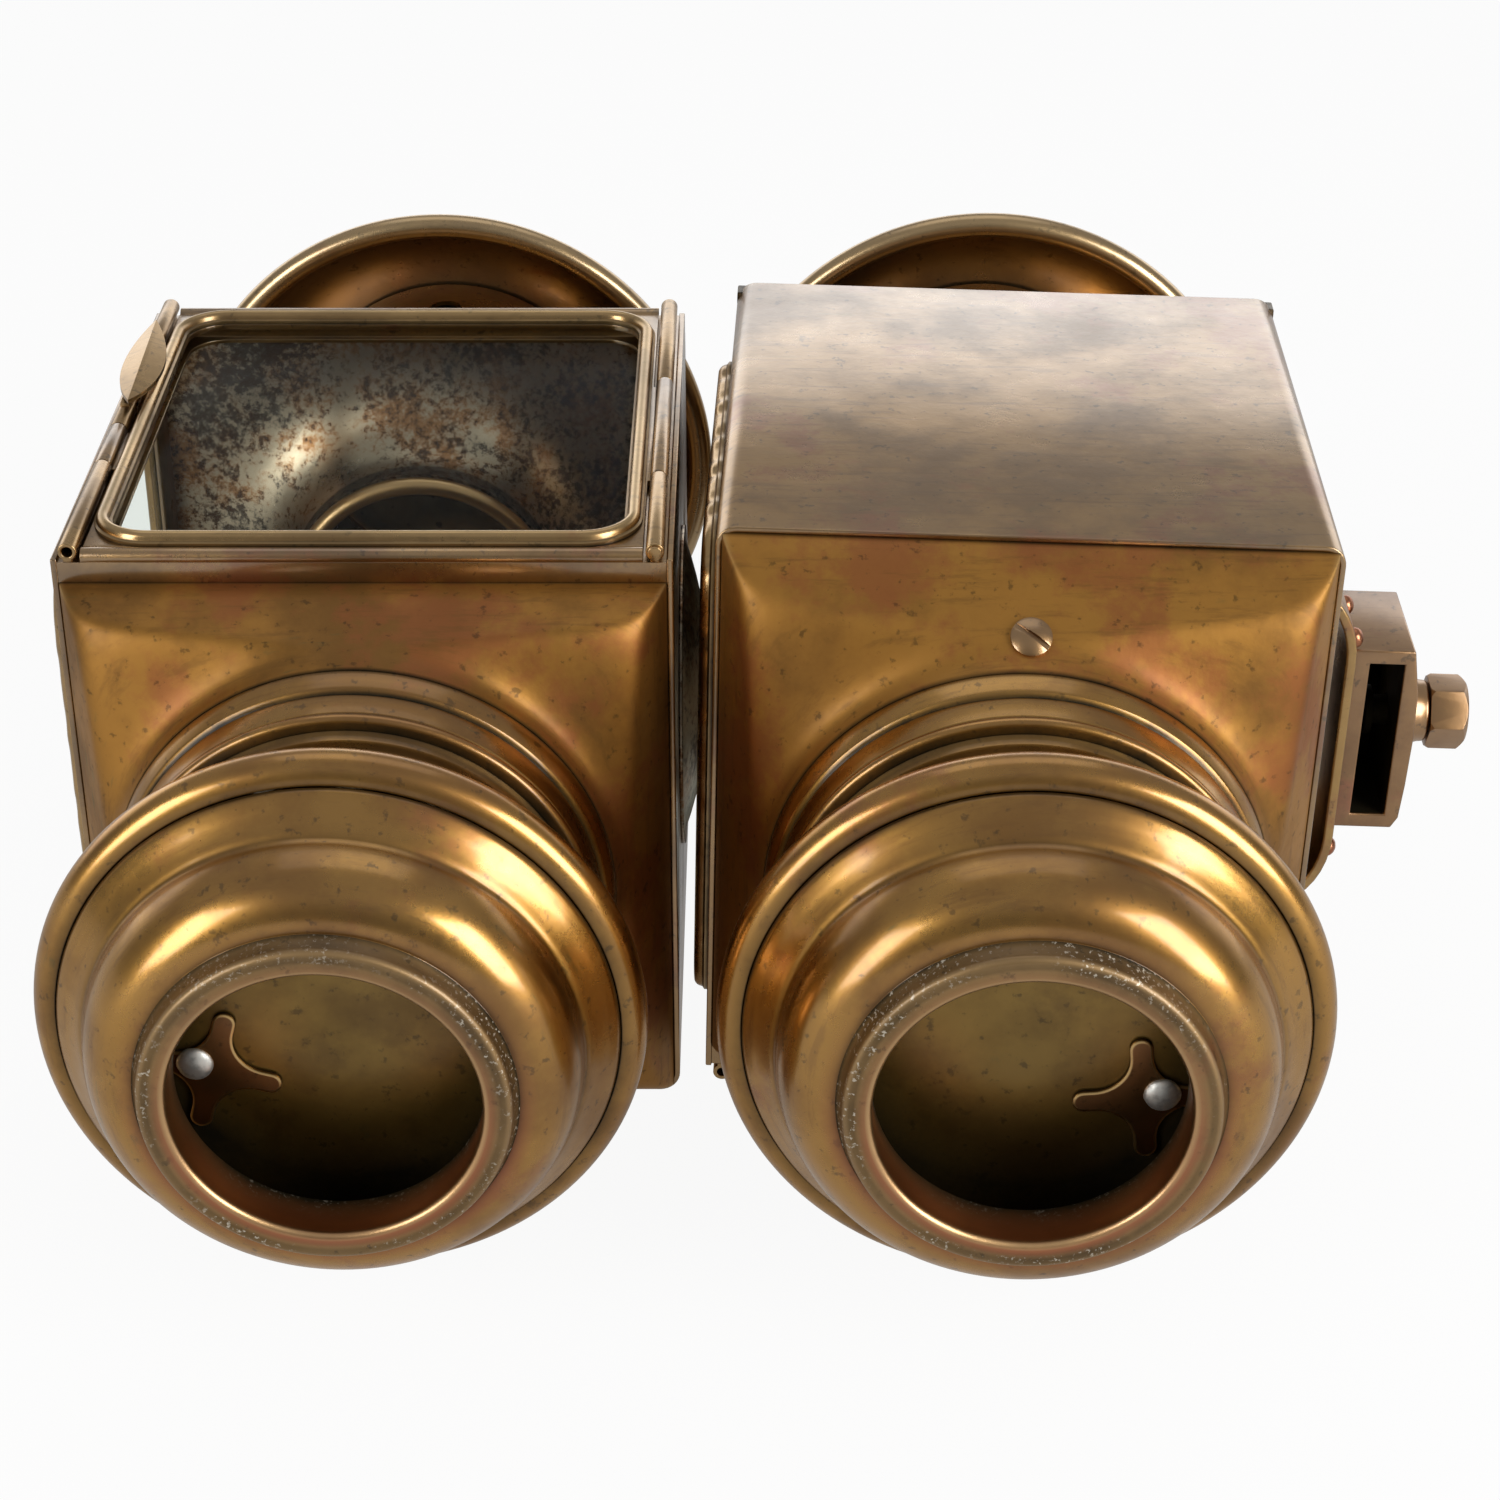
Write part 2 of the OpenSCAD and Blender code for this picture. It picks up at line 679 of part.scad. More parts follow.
module air_baffle() color("#8a6a3c") difference() {
    spin([[sleeve_r + running, baffle_y + 2], [sleeve_r + running + guide_t, baffle_y + 2],
        [sleeve_r + running + guide_t, baffle_y + 1], [collar_in_r, baffle_y + 1], [collar_in_r, baffle_y],
        [sleeve_r + running + guide_t, baffle_y], [sleeve_r + running + guide_t, baffle_y - guide_l],
        [sleeve_r + running, baffle_y - guide_l]]);
    for (i = [1:air_holes]) turned(360 * i / air_holes)
        translate([air_ring_r, 0, 0]) bar(air_hole_d / 2, baffle_y - lip, baffle_y + 1 + lip);
}

module base_dome() color("#a58244") {
    edge = [dome_r - edge_r, dome_y];
    shoulder_rx = dome_wall_r - cove_r;
    shoulder_ry = dome_end - crease_y;
    path = concat(
        arc(edge, edge_r, 90, -70),
        [[dome_r - 2.6, dome_y - 1.5]],
        arc([dome_wall_r - 1.2, dome_y - 3.2], 4, 14, -50, 5),
        quarter([cove_r, crease_y - 0.3], shoulder_rx, shoulder_ry + 0.3, 0, 90, 10));
    back = [for (p = quarter([cove_r, crease_y - 0.3], shoulder_rx - spun, shoulder_ry + spun + 0.3, 90, 0, 10)) p];
    spin(concat(path, back, [[dome_wall_r - spun + 0.4, crease_y + 2], [plate_r - 2, dome_y - 0.4],
        [plate_r, plate_y], [plate_r, plate_y + spun]]));
}

module base_ring() color("#b07c48") spin(concat(
    [[cove_r - 0.6, dome_end + spun], [cove_r, dome_end + spun], [cove_r, dome_end],
        [ring_r + 0.5, dome_end - 1], [ring_r + 0.2, dome_end - 2.2]],
    arc([ring_r - 1, mouth_y + 1], 1, 0, -90, 5),
    arc([well_r + 1.4, mouth_y + 1.4], 1.4, -90, -180, 6),
    [[well_r, mouth_y + ring_wall_l], [well_r + 1, mouth_y + ring_wall_l],
        [well_r + 1, dome_end + spun]]));

module well_plate() color("#6b5430") spin([
    [0, plate_y], [plate_r, plate_y], [plate_r, plate_y + spun],
    [sleeve_r, plate_y + spun], [sleeve_r, plate_y + sleeve_l],
    [sleeve_r - spun, plate_y + sleeve_l], [sleeve_r - spun, plate_y + spun], [0, plate_y + spun]]);

// The star spring, drawn at the well plate's angle zero: arms with hollow flanks.
module star_spring() color("#77674c") {
    tip = 0.17 * star_r;
    hollow = 0.62 * star_r;
    step = 180 / star_arms;
    translate([star_offset, plate_y, 0]) rotate([90, star_tilt, 0]) linear_extrude(star_t) difference() {
        union() {
            circle(r = 0.66 * star_r);
            for (i = [1:star_arms]) rotate(2 * step * i) {
                translate([0, -tip]) square([star_r - tip, 2 * tip]);
                translate([star_r - tip, 0]) circle(r = tip);
            }
        }
        for (i = [1:star_arms]) rotate(2 * step * i + step) translate([star_core + hollow, 0])
            circle(r = hollow);
    }
}

// The rivet stands a little outward of the spring's middle.
module spring_rivet() color("silver") translate([star_offset + 2.2, plate_y - star_t, -2.5])
    rotate([90, 0, 0]) intersection() {
        cylinder(r = star_rivet_r, h = 0.8 * star_rivet_r);
        translate([0, 0, -0.4 * star_rivet_r]) sphere(r = 1.2 * star_rivet_r);
    }

// ---- Chimney end ----

module reflector() color("#8d8878") {
    mouth = flue_y + 2 * flue_roll + 0.1;
    foot_r = flue_tube_r + reflector_t + 0.1;
    cove = quarter([foot_r + reflector_cove, mouth], -reflector_cove, reflector_y - mouth, 0, 90);
    path = concat(cove, [[60, reflector_y], [68, reflector_y - 0.8], [casing_w * 0.75, reflector_y - 1.8]]);
    intersection() {
        spin(sheet_outline(path, reflector_t));
        translate([-inner_x, 0, -inner_back]) cube([2 * inner_x, casing_l, inner_back + ledge_top - ledge_t]);
    }
}

module flue() color("#9c7448") spin(concat(
    [[flue_tube_r - spun, flue_y + flue_l], [flue_tube_r - spun, flue_y + 2 * flue_roll]],
    arc([flue_r - flue_roll, flue_y + flue_roll], flue_roll, 150, 420, 20),
    [[flue_tube_r, flue_y + 2 * flue_roll], [flue_tube_r, flue_y + flue_l]]));

module upper_shoulder() color("#94703a") {
    hem_y = casing_l - hem_w;
    difference() {
        translate([-half_w - upper_lip, hem_y, -back_depth]) cube([casing_w + 2 * upper_lip,
            hem_w + upper_lip, back_depth + shoulder_top - seat_gap]);
        translate([-half_w, hem_y - lip, -back_depth - lip]) cube([casing_w, hem_w + lip, 200]);
        translate([0, casing_l - lip, 0]) bar(chimney_r, 0, 5);
    }
    shoulder(casing_l + upper_lip - 0.2, upper_y, half_w, shoulder_top, inner_back, chimney_r + spun, spun);
}

module chimney_neck() color("#9b7a3e") difference() {
    spin([[chimney_r - spun, upper_y - 6], [chimney_r, upper_y - 6], [chimney_r, crown_y],
        [chimney_r - spun, crown_y]]);
    for (i = [1:smoke_holes]) turned(360 * i / smoke_holes)
        translate([chimney_r - 4 * spun, smoke_y, 0]) rotate([0, 90, 0])
            cylinder(d = smoke_hole_d, h = 8 * spun);
}

module umbrella_cap() color("#a58244") {
    dome = quarter([chimney_r, cap_y], cap_mid_r - chimney_r, cap_depth + spun, 8, 90);
    top = [[0.7 * chimney_r, crown_y + 4.5], [0, crown_y + 5]];
    path = concat(dome, top);
    spin([for (p = concat(arc([cap_mid_r, cap_y], roll_r, -210, 85, 24),
        path, [for (i = [len(path) - 1:-1:0]) mitre(path, i, spun)])) [max(p[0], 0), p[1]]]);
}

module crown() color("#a58244") {
    r = 0.6 * chimney_r;
    base_y = crown_y + 5;
    spin(concat([[0, base_y], [r, base_y]], quarter([0, base_y + 1.5], r, crown_h - 6.5, 0, 90)));
}

// ---- Bracket on the second lamp ----

module bracket_pad() color("#b48a45") {
    foot = pad_w / 2;
    path = concat([[half_w, -foot]],
        quarter([half_w, -foot + pad_bend + 1], pad_h, pad_bend, -80, 0),
        quarter([half_w, foot - pad_bend - 1], pad_h, pad_bend, 0, 80), [[half_w, foot]]);
    translate([0, dish_y + pad_l / 2, 0]) rotate([90, 0, 0]) linear_extrude(pad_l)
        polygon([for (p = sheet_outline(path, pad_t)) [max(p[0], half_w), p[1]]]);
}

module socket_place() translate([0, socket_y, -socket_shift]) children();

// A loop open along the lamp's axis, with a boss for the screw and a web that stops
// the blade at the far end.
module bracket_socket() color("#a07a48") socket_place() difference() {
    union() {
        translate([0, socket_l / 2, 0]) rotate([90, 0, 0]) linear_extrude(socket_l) difference() {
            loop_outline();
            translate([slot_x, -slot_h / 2]) square([slot_w, slot_h]);
        }
        translate([0, socket_l / 2, 0]) rotate([90, 0, 0]) linear_extrude(web_t) web_outline();
        translate([socket_out_x, 0, 0]) rotate([0, 90, 0]) rotate_extrude() polygon([
            [0, -eps], [boss_r, -eps], [boss_r - 0.3, 0.3 * boss_l], [boss_r - 0.8, 0.7 * boss_l],
            [boss_r - 0.9, boss_l], [0, boss_l]]);
    }
    translate([slot_x + slot_w / 2, 0, 0]) rotate([0, 90, 0])
        cylinder(r = screw_r + running, h = socket_t + slot_w + boss_l);
}

// The loop's outside: square towards the back panel, chamfered towards the door.
module loop_outline() polygon([
    [socket_x, socket_half_h], [socket_x, -socket_half_h], [socket_out_x - 1.6, -socket_half_h],
    [socket_out_x - 1.1, 3 - socket_half_h], [socket_out_x, -0.3 * slot_h], [socket_out_x + 0.3, 0],
    [socket_out_x, 0.3 * slot_h], [socket_out_x - 0.5, socket_half_h - 2.4], [socket_out_x - 1.8, socket_half_h]]);

// The web that stops the blade: solid across the door end of the slot, then a waved strip.
module web_outline() polygon([
    [slot_x - eps, slot_h / 2 + eps], [slot_x - eps, 0.21 * slot_h], [slot_x + 0.2 * slot_w, 0.2 * slot_h],
    [slot_x + 0.4 * slot_w, 0.16 * slot_h], [slot_x + 0.5 * slot_w, 0.02 * slot_h],
    [slot_x + 0.42 * slot_w, -0.1 * slot_h], [slot_x + 0.5 * slot_w, -0.2 * slot_h],
    [slot_x + 0.7 * slot_w, -0.26 * slot_h], [slot_x + 0.72 * slot_w, -slot_h / 2 - eps],
    [slot_x + slot_w + eps, -slot_h / 2 - eps], [slot_x + slot_w + eps, slot_h / 2 + eps]]);

// The clamp shoe slides, and the screw turns in it with a reduced tip.
module clamp_shoe() color("#8d7c55") socket_place() translate([shoe_x, 0, 0]) rotate([0, 90, 0])
    difference() {
        cylinder(r = shoe_r, h = shoe_t);
        translate([0, 0, shoe_t - shoe_pin_l]) cylinder(r = shoe_pin_r + running, h = shoe_pin_l + lip);
    }

module set_screw() color("#8f6b3c") socket_place() {
    head_x = socket_out_x + boss_l + seat_gap;
    tip_x = shoe_x + shoe_t;
    translate([tip_x + 0.05, 0, 0]) rotate([0, 90, 0]) cylinder(r = screw_r, h = head_x - tip_x);
    translate([tip_x - shoe_pin_l + running, 0, 0]) rotate([0, 90, 0]) cylinder(r = shoe_pin_r, h = shoe_pin_l);
    translate([head_x, 0, 0]) rotate([0, 90, 0]) intersection() {
        rotate(30) cylinder(d = hex_d, h = hex_h, $fn = 6);
        rotate_extrude() polygon([[0, 0], [hex_d / 2 - 0.5, 0], [hex_d / 2, 0.8], [hex_d / 2, hex_h - 1.2],
            [hex_d / 2 - 1.3, hex_h], [0, hex_h]]);
    }
}

// Rivet heads on the pad's shoulders, square to its curve.
module bracket_rivets() color("#b5734a") {
    first = dish_y - pad_l / 2 + rivet_edge;
    last = dish_y + pad_l / 2 - rivet_edge;
    high = rivet_rise - pad_w / 2;
    for (at = [[first, high], [first + rivet_step, high], [last, high], [first, -high], [last, -high]])
        let (
            up = (abs(at[1]) - pad_w / 2 + pad_bend + 1) / pad_bend,
            out = sqrt(1 - up * up),
            tilt = atan2(up / pad_bend, out / pad_h) * sign(at[1])
        ) translate([half_w + pad_h * out, at[0], at[1]]) rotate([0, 90 - tilt, 0]) translate([0, 0, 0.05])
            intersection() {
                sphere(r = rivet_r);
                cylinder(r = rivet_r, h = rivet_r);
            }
}

first_lamp() casing();  // left_casing
first_lamp() door_seat();  // left_door_seat
first_lamp() lower_shoulder();  // left_lower_shoulder
first_lamp() upper_shoulder();  // left_upper_shoulder
first_lamp() collar();  // left_collar
first_lamp() skirt();  // left_skirt
first_lamp() air_baffle();  // left_air_baffle
first_lamp() base_dome();  // left_base_dome
first_lamp() base_ring();  // left_base_ring
first_lamp() well_plate();  // left_well_plate
first_base() star_spring();  // left_star_spring
first_base() spring_rivet();  // left_spring_rivet
first_lamp() reflector();  // left_reflector
first_lamp() flue();  // left_flue
first_lamp() chimney_neck();  // left_chimney_neck
first_lamp() umbrella_cap();  // left_umbrella_cap
first_lamp() crown();  // left_crown
first_lamp() side_dish();  // left_side_dish
first_lamp() frame_tubes();  // left_frame_tubes
first_lamp() hinge_pin();  // left_hinge_pin
first_lamp() door_frame();  // left_door_frame
first_lamp() door_bezel();  // left_door_bezel
first_lamp() door_glass();  // left_door_glass
first_lamp() door_latch();  // left_door_latch
first_lamp() window_bezel();  // left_window_bezel
first_lamp() window_glass();  // left_window_glass
first_lamp() shoulder_screw();  // left_shoulder_screw
second_lamp() casing();  // right_casing
second_lamp() door_seat();  // right_door_seat
second_lamp() lower_shoulder();  // right_lower_shoulder
second_lamp() upper_shoulder();  // right_upper_shoulder
second_lamp() collar();  // right_collar
second_lamp() skirt();  // right_skirt
second_lamp() air_baffle();  // right_air_baffle
second_lamp() base_dome();  // right_base_dome
second_lamp() base_ring();  // right_base_ring
second_lamp() well_plate();  // right_well_plate
second_base() star_spring();  // right_star_spring
second_base() spring_rivet();  // right_spring_rivet
second_lamp() reflector();  // right_reflector
second_lamp() flue();  // right_flue
second_lamp() chimney_neck();  // right_chimney_neck
second_lamp() umbrella_cap();  // right_umbrella_cap
second_lamp() crown();  // right_crown
second_lamp() side_dish();  // right_side_dish
second_lamp() frame_tubes();  // right_frame_tubes
second_lamp() hinge_pin();  // right_hinge_pin
second_lamp() door_frame();  // right_door_frame
second_lamp() door_bezel();  // right_door_bezel
second_lamp() door_glass();  // right_door_glass
second_lamp() door_latch();  // right_door_latch
second_lamp() window_bezel();  // right_window_bezel
second_lamp() window_glass();  // right_window_glass
second_lamp() shoulder_screw();  // right_shoulder_screw
second_lamp() bracket_pad();  // right_bracket_pad
second_lamp() bracket_socket();  // right_bracket_socket
second_lamp() bracket_rivets();  // right_bracket_rivets
second_lamp() clamp_shoe();  // right_clamp_shoe
second_lamp() set_screw();  // right_set_screw
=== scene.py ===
"""Dress and light a pair of square brass side lamps for oil.

Each lamp is modelled once in its own frame, in millimetres: its axis is Y, the burner
well is at -Y, the chimney at +Y, the glazed door faces +Z and the side window faces -X.
A Lamp carries every piece to its place in the row frame. The second lamp is the mirror
image of the first, laid door side down.
"""
from __future__ import annotations

import json
import logging
import math
from dataclasses import dataclass
from enum import Enum
from typing import Any, Callable, Sequence

import bmesh
import bpy
from mathutils import Matrix, Vector

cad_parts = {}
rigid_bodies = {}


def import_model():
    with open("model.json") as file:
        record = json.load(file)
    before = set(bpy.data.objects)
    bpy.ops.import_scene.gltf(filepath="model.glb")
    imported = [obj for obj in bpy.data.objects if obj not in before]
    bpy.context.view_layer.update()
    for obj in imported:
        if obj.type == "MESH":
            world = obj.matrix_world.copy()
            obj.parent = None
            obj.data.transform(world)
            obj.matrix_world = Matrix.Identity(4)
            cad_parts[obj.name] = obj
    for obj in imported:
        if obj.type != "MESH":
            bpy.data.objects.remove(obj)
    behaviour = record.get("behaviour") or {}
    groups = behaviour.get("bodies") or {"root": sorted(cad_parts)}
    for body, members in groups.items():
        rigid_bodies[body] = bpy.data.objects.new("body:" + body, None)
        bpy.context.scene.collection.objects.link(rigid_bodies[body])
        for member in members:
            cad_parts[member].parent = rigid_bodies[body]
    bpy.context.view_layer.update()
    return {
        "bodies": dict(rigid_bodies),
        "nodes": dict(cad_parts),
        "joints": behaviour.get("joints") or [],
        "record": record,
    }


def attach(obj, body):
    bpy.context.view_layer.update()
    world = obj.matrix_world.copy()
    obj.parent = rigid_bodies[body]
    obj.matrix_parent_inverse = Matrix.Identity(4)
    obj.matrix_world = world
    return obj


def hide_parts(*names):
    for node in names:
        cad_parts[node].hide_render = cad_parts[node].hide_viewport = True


LOG = logging.getLogger("side_lamps")
MM = 0.001
SIDES = ("left", "right")
MARKS = ("grime_and_shade", "wear_and_shine", "flush")
SHARP_DEG = 35.0
WHITE = (1.0, 1.0, 1.0)
Colour = tuple[float, float, float]
Triple = tuple[float, float, float]
Point = tuple[float, float]


# ---------------------------------------------------------------- shader maths


class Sock:
    """A node socket, or a plain number, that takes part in Python expressions."""

    def __init__(self, shade: "Shade", value: Any) -> None:
        """Wrap a socket or a number of the given shade."""
        self.shade = shade
        self.value = value

    def _math(self, operation: str, *others: Any) -> "Sock":
        """Return a Math node's result on this value and the others."""
        return self.shade.node("ShaderNodeMath", [self, *others], operation=operation)

    def __add__(self, other: Any) -> "Sock":
        """Return the sum."""
        return self._math("ADD", other)

    __radd__ = __add__

    def __sub__(self, other: Any) -> "Sock":
        """Return the difference."""
        return self._math("SUBTRACT", other)

    def __rsub__(self, other: Any) -> "Sock":
        """Return the reflected difference."""
        return Sock(self.shade, other)._math("SUBTRACT", self)

    def __mul__(self, other: Any) -> "Sock":
        """Return the product."""
        return self._math("MULTIPLY", other)

    __rmul__ = __mul__

    def __pow__(self, other: Any) -> "Sock":
        """Return the power."""
        return self._math("POWER", other)

    def least(self, other: Any) -> "Sock":
        """Return the smaller of the two."""
        return self._math("MINIMUM", other)

    def most(self, other: Any) -> "Sock":
        """Return the larger of the two."""
        return self._math("MAXIMUM", other)

    def step(self, low: float, high: float) -> "Sock":
        """Step smoothly from 0 to 1.

        Args:
            low: The value where the step is 0.
            high: The value where it is 1, above low or below it.

        Returns:
            The step.
        """
        ends = {"Value": self, "From Min": min(low, high), "From Max": max(low, high)}
        mapped = self.shade.node("ShaderNodeMapRange", ends, interpolation_type="SMOOTHSTEP")
        return 1 - mapped if high < low else mapped


class Shade:
    """A node tree under construction."""

    def __init__(self, tree: bpy.types.NodeTree) -> None:
        """Start on a tree, which is emptied."""
        self.tree = tree
        tree.nodes.clear()

    def node(self, kind: str, inputs: Any = (), output: Any = 0, **settings: Any) -> Sock:
        """Add a node.

        Args:
            kind: The node's type.
            inputs: Values or sockets, in order or by the input's name or place.
            output: The output wanted, by place or name.
            settings: The node's own settings, set before its inputs.

        Returns:
            The wanted output.
        """
        made = self.tree.nodes.new(kind)
        for key, value in settings.items():
            setattr(made, key, value)
        for key, value in inputs.items() if isinstance(inputs, dict) else enumerate(inputs):
            self.feed(made.inputs[key], value)
        return Sock(self, made.outputs[output])

    def feed(self, socket: bpy.types.NodeSocket, value: Any) -> None:
        """Link or set one input.

        Args:
            socket: The input.
            value: What it takes, a Sock, a socket or a plain value.
        """
        if isinstance(value, Sock):
            value = value.value
        if isinstance(value, bpy.types.NodeSocket):
            self.tree.links.new(value, socket)
        elif isinstance(value, tuple) and socket.type == "RGBA":
            socket.default_value = (*value[:3], 1.0)
        else:
            socket.default_value = value

    def close(self, result: Sock, kind: str = "ShaderNodeOutputMaterial") -> None:
        """Feed the result to the tree's output node."""
        self.feed(self.tree.nodes.new(kind).inputs[0], result)

    def place(self) -> Sock:
        """Return the object coordinates."""
        return self.node("ShaderNodeTexCoord", output="Object")

    def axis(self, at: Sock, name: str) -> Sock:
        """Return one coordinate of a place or a direction."""
        return self.node("ShaderNodeSeparateXYZ", [at], output=name)

    def noise(self, at: Sock, scale: float, detail: float = 4.0, rough: float = 0.55,
              stretch: Triple = (1, 1, 1), shift: float = 0.0) -> Sock:
        """Add a noise.

        Args:
            at: The coordinates.
            scale: Features per metre.
            detail: Octaves.
            rough: The share of each finer octave.
            stretch: Scale of each axis before the noise.
            shift: Offset that sets one pattern apart from another.

        Returns:
            The noise's value, round 0.5.
        """
        moved = self.node("ShaderNodeMapping", {
            "Vector": at, "Location": (shift, shift * 0.7, -shift), "Scale": stretch})
        return self.node("ShaderNodeTexNoise", {
            "Vector": moved, "Scale": scale, "Detail": detail, "Roughness": rough})

    def mix(self, factor: Any, low: Any, high: Any) -> Sock:
        """Return a colour between low and high."""
        return self.node("ShaderNodeMix", {0: factor, 6: low, 7: high}, 2, data_type="RGBA")

    def attribute(self, name: str) -> Sock:
        """Return the factor of a mesh attribute, which is 0 where a mesh lacks it."""
        return self.node("ShaderNodeAttribute", output="Fac", attribute_name=name)

    def bump(self, height: Sock) -> Sock:
        """Return a normal bumped by a height in metres."""
        return self.node("ShaderNodeBump", {"Height": height, "Distance": 1.0, "Strength": 1.0})

    def ray(self, kind: str) -> Sock:
        """Return 1 for rays of one kind and 0 for the others."""
        return self.node("ShaderNodeLightPath", output=f"Is {kind} Ray")

    def seen(self) -> Sock:
        """Return 1 where the eye looks straight or through glass."""
        return self.ray("Camera").most(self.ray("Transmission"))

    def principled(self, **inputs: Any) -> Sock:
        """Return a Principled shader of these inputs, with _ for each space in a name."""
        return self.node("ShaderNodeBsdfPrincipled", {k.replace("_", " "): v for k, v in inputs.items()})


# ------------------------------------------------------------------- finishes


class Finisher:
    """What every finish shares: its name and a material that is built once."""

    name: str

    def shader(self, shade: Shade) -> Sock:
        """Return the finish's shader."""
        raise NotImplementedError

    def material(self) -> bpy.types.Material:
        """Find the finish's material, or build it on the first call.

        Returns:
            The material.
        """
        if self.name not in bpy.data.materials:
            material = bpy.data.materials.new(self.name)
            material.use_nodes = True
            shade = Shade(material.node_tree)
            shade.close(self.shader(shade))
        return bpy.data.materials[self.name]


@dataclass(frozen=True)
class AgedBrass(Finisher):
    """Old lacquer-free brass: golden where rubbed, brown and coppery elsewhere."""

    name: str
    gold: Colour = (0.30, 0.19, 0.055)
    brown: Colour = (0.125, 0.072, 0.026)
    copper: Colour = (0.30, 0.12, 0.05)
    green: Colour = (0.10, 0.115, 0.045)
    grime_and_shade: Colour = (0.022, 0.018, 0.010)
    worn_and_shine: Colour = (0.55, 0.40, 0.19)
    red: Colour = (0.36, 0.115, 0.040)
    spark: Colour = (0.80, 0.74, 0.62)
    brown_share: float = 0.5
    copper_share: float = 0.3
    green_share: float = 0.2
    roughness: float = 0.32
    dent: float = 0.0006
    film: float = 0.1
    # Strength of a painted sheen that is set by place.
    sheen_haze: float = 0.0
    glint: float = 0.0
    # The box of a painted shadow: its left, right, low, high and front sides in metres.
    shadow_box: tuple[float, ...] = ()

    def shader(self, shade: Shade) -> Sock:
        """Lay tarnish, wear, dirt, dents and a film on the metal, with a painted sheen and a painted shadow
        where they are set.

        Args:
            shade: The material's node tree.

        Returns:
            The finish's shader.
        """
        at = shade.place()
        broad = shade.noise(at, 14, 3, 0.5, shift=3.1)
        cloud = shade.noise(at, 42, 6, 0.62, shift=7.7)
        fleck = shade.noise(at, 420, 4, 0.6, shift=1.3)
        streak = shade.noise(at, 60, 5, 0.7, stretch=(1, 9, 1), shift=5.0)
        stain = shade.noise(at, 30, 8, 0.68, shift=11.0)
        scuff = shade.noise(at, 900, 2, 0.5, stretch=(1, 0.08, 1), shift=2.0)
        # Tarnish: brown clouds, copper and green stains, dark specks and streaks.
        mottle = broad * 0.55 + cloud * 0.45
        browned = mottle.step(0.62 - 0.3 * self.brown_share, 0.76 - 0.3 * self.brown_share)
        colour = shade.mix(browned * 0.8, self.gold, self.brown)
        reddened = stain.step(0.66 - 0.16 * self.copper_share, 0.76 - 0.14 * self.copper_share)
        colour = shade.mix(reddened * 0.75, colour, self.copper)
        greened = (streak * 0.5 + stain * 0.5).step(0.42, 0.34) * self.green_share
        colour = shade.mix(greened, colour, self.green)
        colour = shade.mix(fleck.step(0.60, 0.70) * 0.5, colour, self.grime_and_shade)
        colour = shade.mix(streak.step(0.52, 0.66) * 0.45, colour, self.brown)
        # The copper flush is strongest low down, and wear shows bare metal; along the shoulders' creases that
        # worn colour is also a painted highlight.
        flush = shade.attribute("flush")
        low_down = shade.axis(at, "Z").step(0.078, 0.046)
        flushed = (flush * (0.45 + stain) * (0.25 + low_down * 0.85)).least(1.0)
        colour = shade.mix(flushed, colour, self.red)
        rubbed = shade.attribute("wear_and_shine") * (0.35 + cloud).least(1.0)
        colour = shade.mix(rubbed.least(1.0), colour, self.worn_and_shine)
        # Dirt in the seams and painted shade deep in the ring's bore, with bright grains where the finish
        # glints.
        dirt_and_shade = shade.attribute("grime_and_shade")
        sparks = shade.noise(at, 1300, 3, 0.6, shift=21.0).step(0.56, 0.68) * dirt_and_shade.step(0.1, 0.3) * self.glint
        sparks = sparks * (1 - flush).most(0.0) * cloud.step(0.4, 0.6)
        patchy = (dirt_and_shade * (0.55 + cloud * 0.9)).least(1.0)
        colour = shade.mix(patchy, colour, self.grime_and_shade)
        colour = shade.mix(sparks, colour, self.spark)
        rough = (self.roughness + (cloud - 0.5) * 0.22 + (fleck - 0.5) * 0.12 + browned * 0.05
                 + patchy * 0.35 - rubbed * 0.05)
        height = broad * self.dent * 1.6 + cloud * self.dent * 0.35 + fleck * 0.00002 + scuff * 0.000008
        # Towards the chimney end and the bracket's side the coat grows stronger and the colour a little
        # darker: a painted sheen of reflected light, set by place.
        chimney = shade.axis(at, "Y").step(-0.06, 0.05) * 0.8
        bracket = shade.axis(at, "X").step(0.125, 0.185)
        placed_sheen = chimney.most(bracket) * self.sheen_haze
        placed_sheen = (placed_sheen + (cloud - 0.5) * self.sheen_haze * 0.4).most(0.0).least(1.0)
        colour = shade.mix(placed_sheen * 0.35, colour, self.grime_and_shade)
        film = (self.film + placed_sheen * (1 - self.film)) * (1.5 - cloud) * (1 - patchy * 0.8)
        # Inside the box the colour is painted near black, with no coat and more roughness: a painted shadow
        # in the bracket's slot.
        if self.shadow_box:
            dark = self.painted_shadow(shade, at)
            colour = shade.mix(dark, colour, self.grime_and_shade)
            film = film * (1 - dark)
            rough = rough + dark * 0.4
        return shade.principled(
            Base_Color=colour, Metallic=1.0, Roughness=rough.most(0.08), Normal=shade.bump(height),
            Coat_Weight=film.least(1.0), Coat_Roughness=self.roughness * 0.6, Coat_IOR=2.2)

    def painted_shadow(self, shade: Shade, at: Sock, fade: float = 0.0002) -> Sock:
        """Return the painted shadow in the bracket's slot: a box given by its sides in metres.

        Args:
            shade: The material's node tree.
            at: The coordinates.
            fade: The width of its soft edge.

        Returns:
            1 inside the box of painted shadow and 0 outside.
        """
        left, right, low, high, front = self.shadow_box
        across, along, up = (shade.axis(at, name) for name in "XYZ")
        return (across.step(left - fade, left) * across.step(right + fade, right) * up.step(low - fade, low)
                * up.step(high + fade, high) * along.step(front - fade, front))


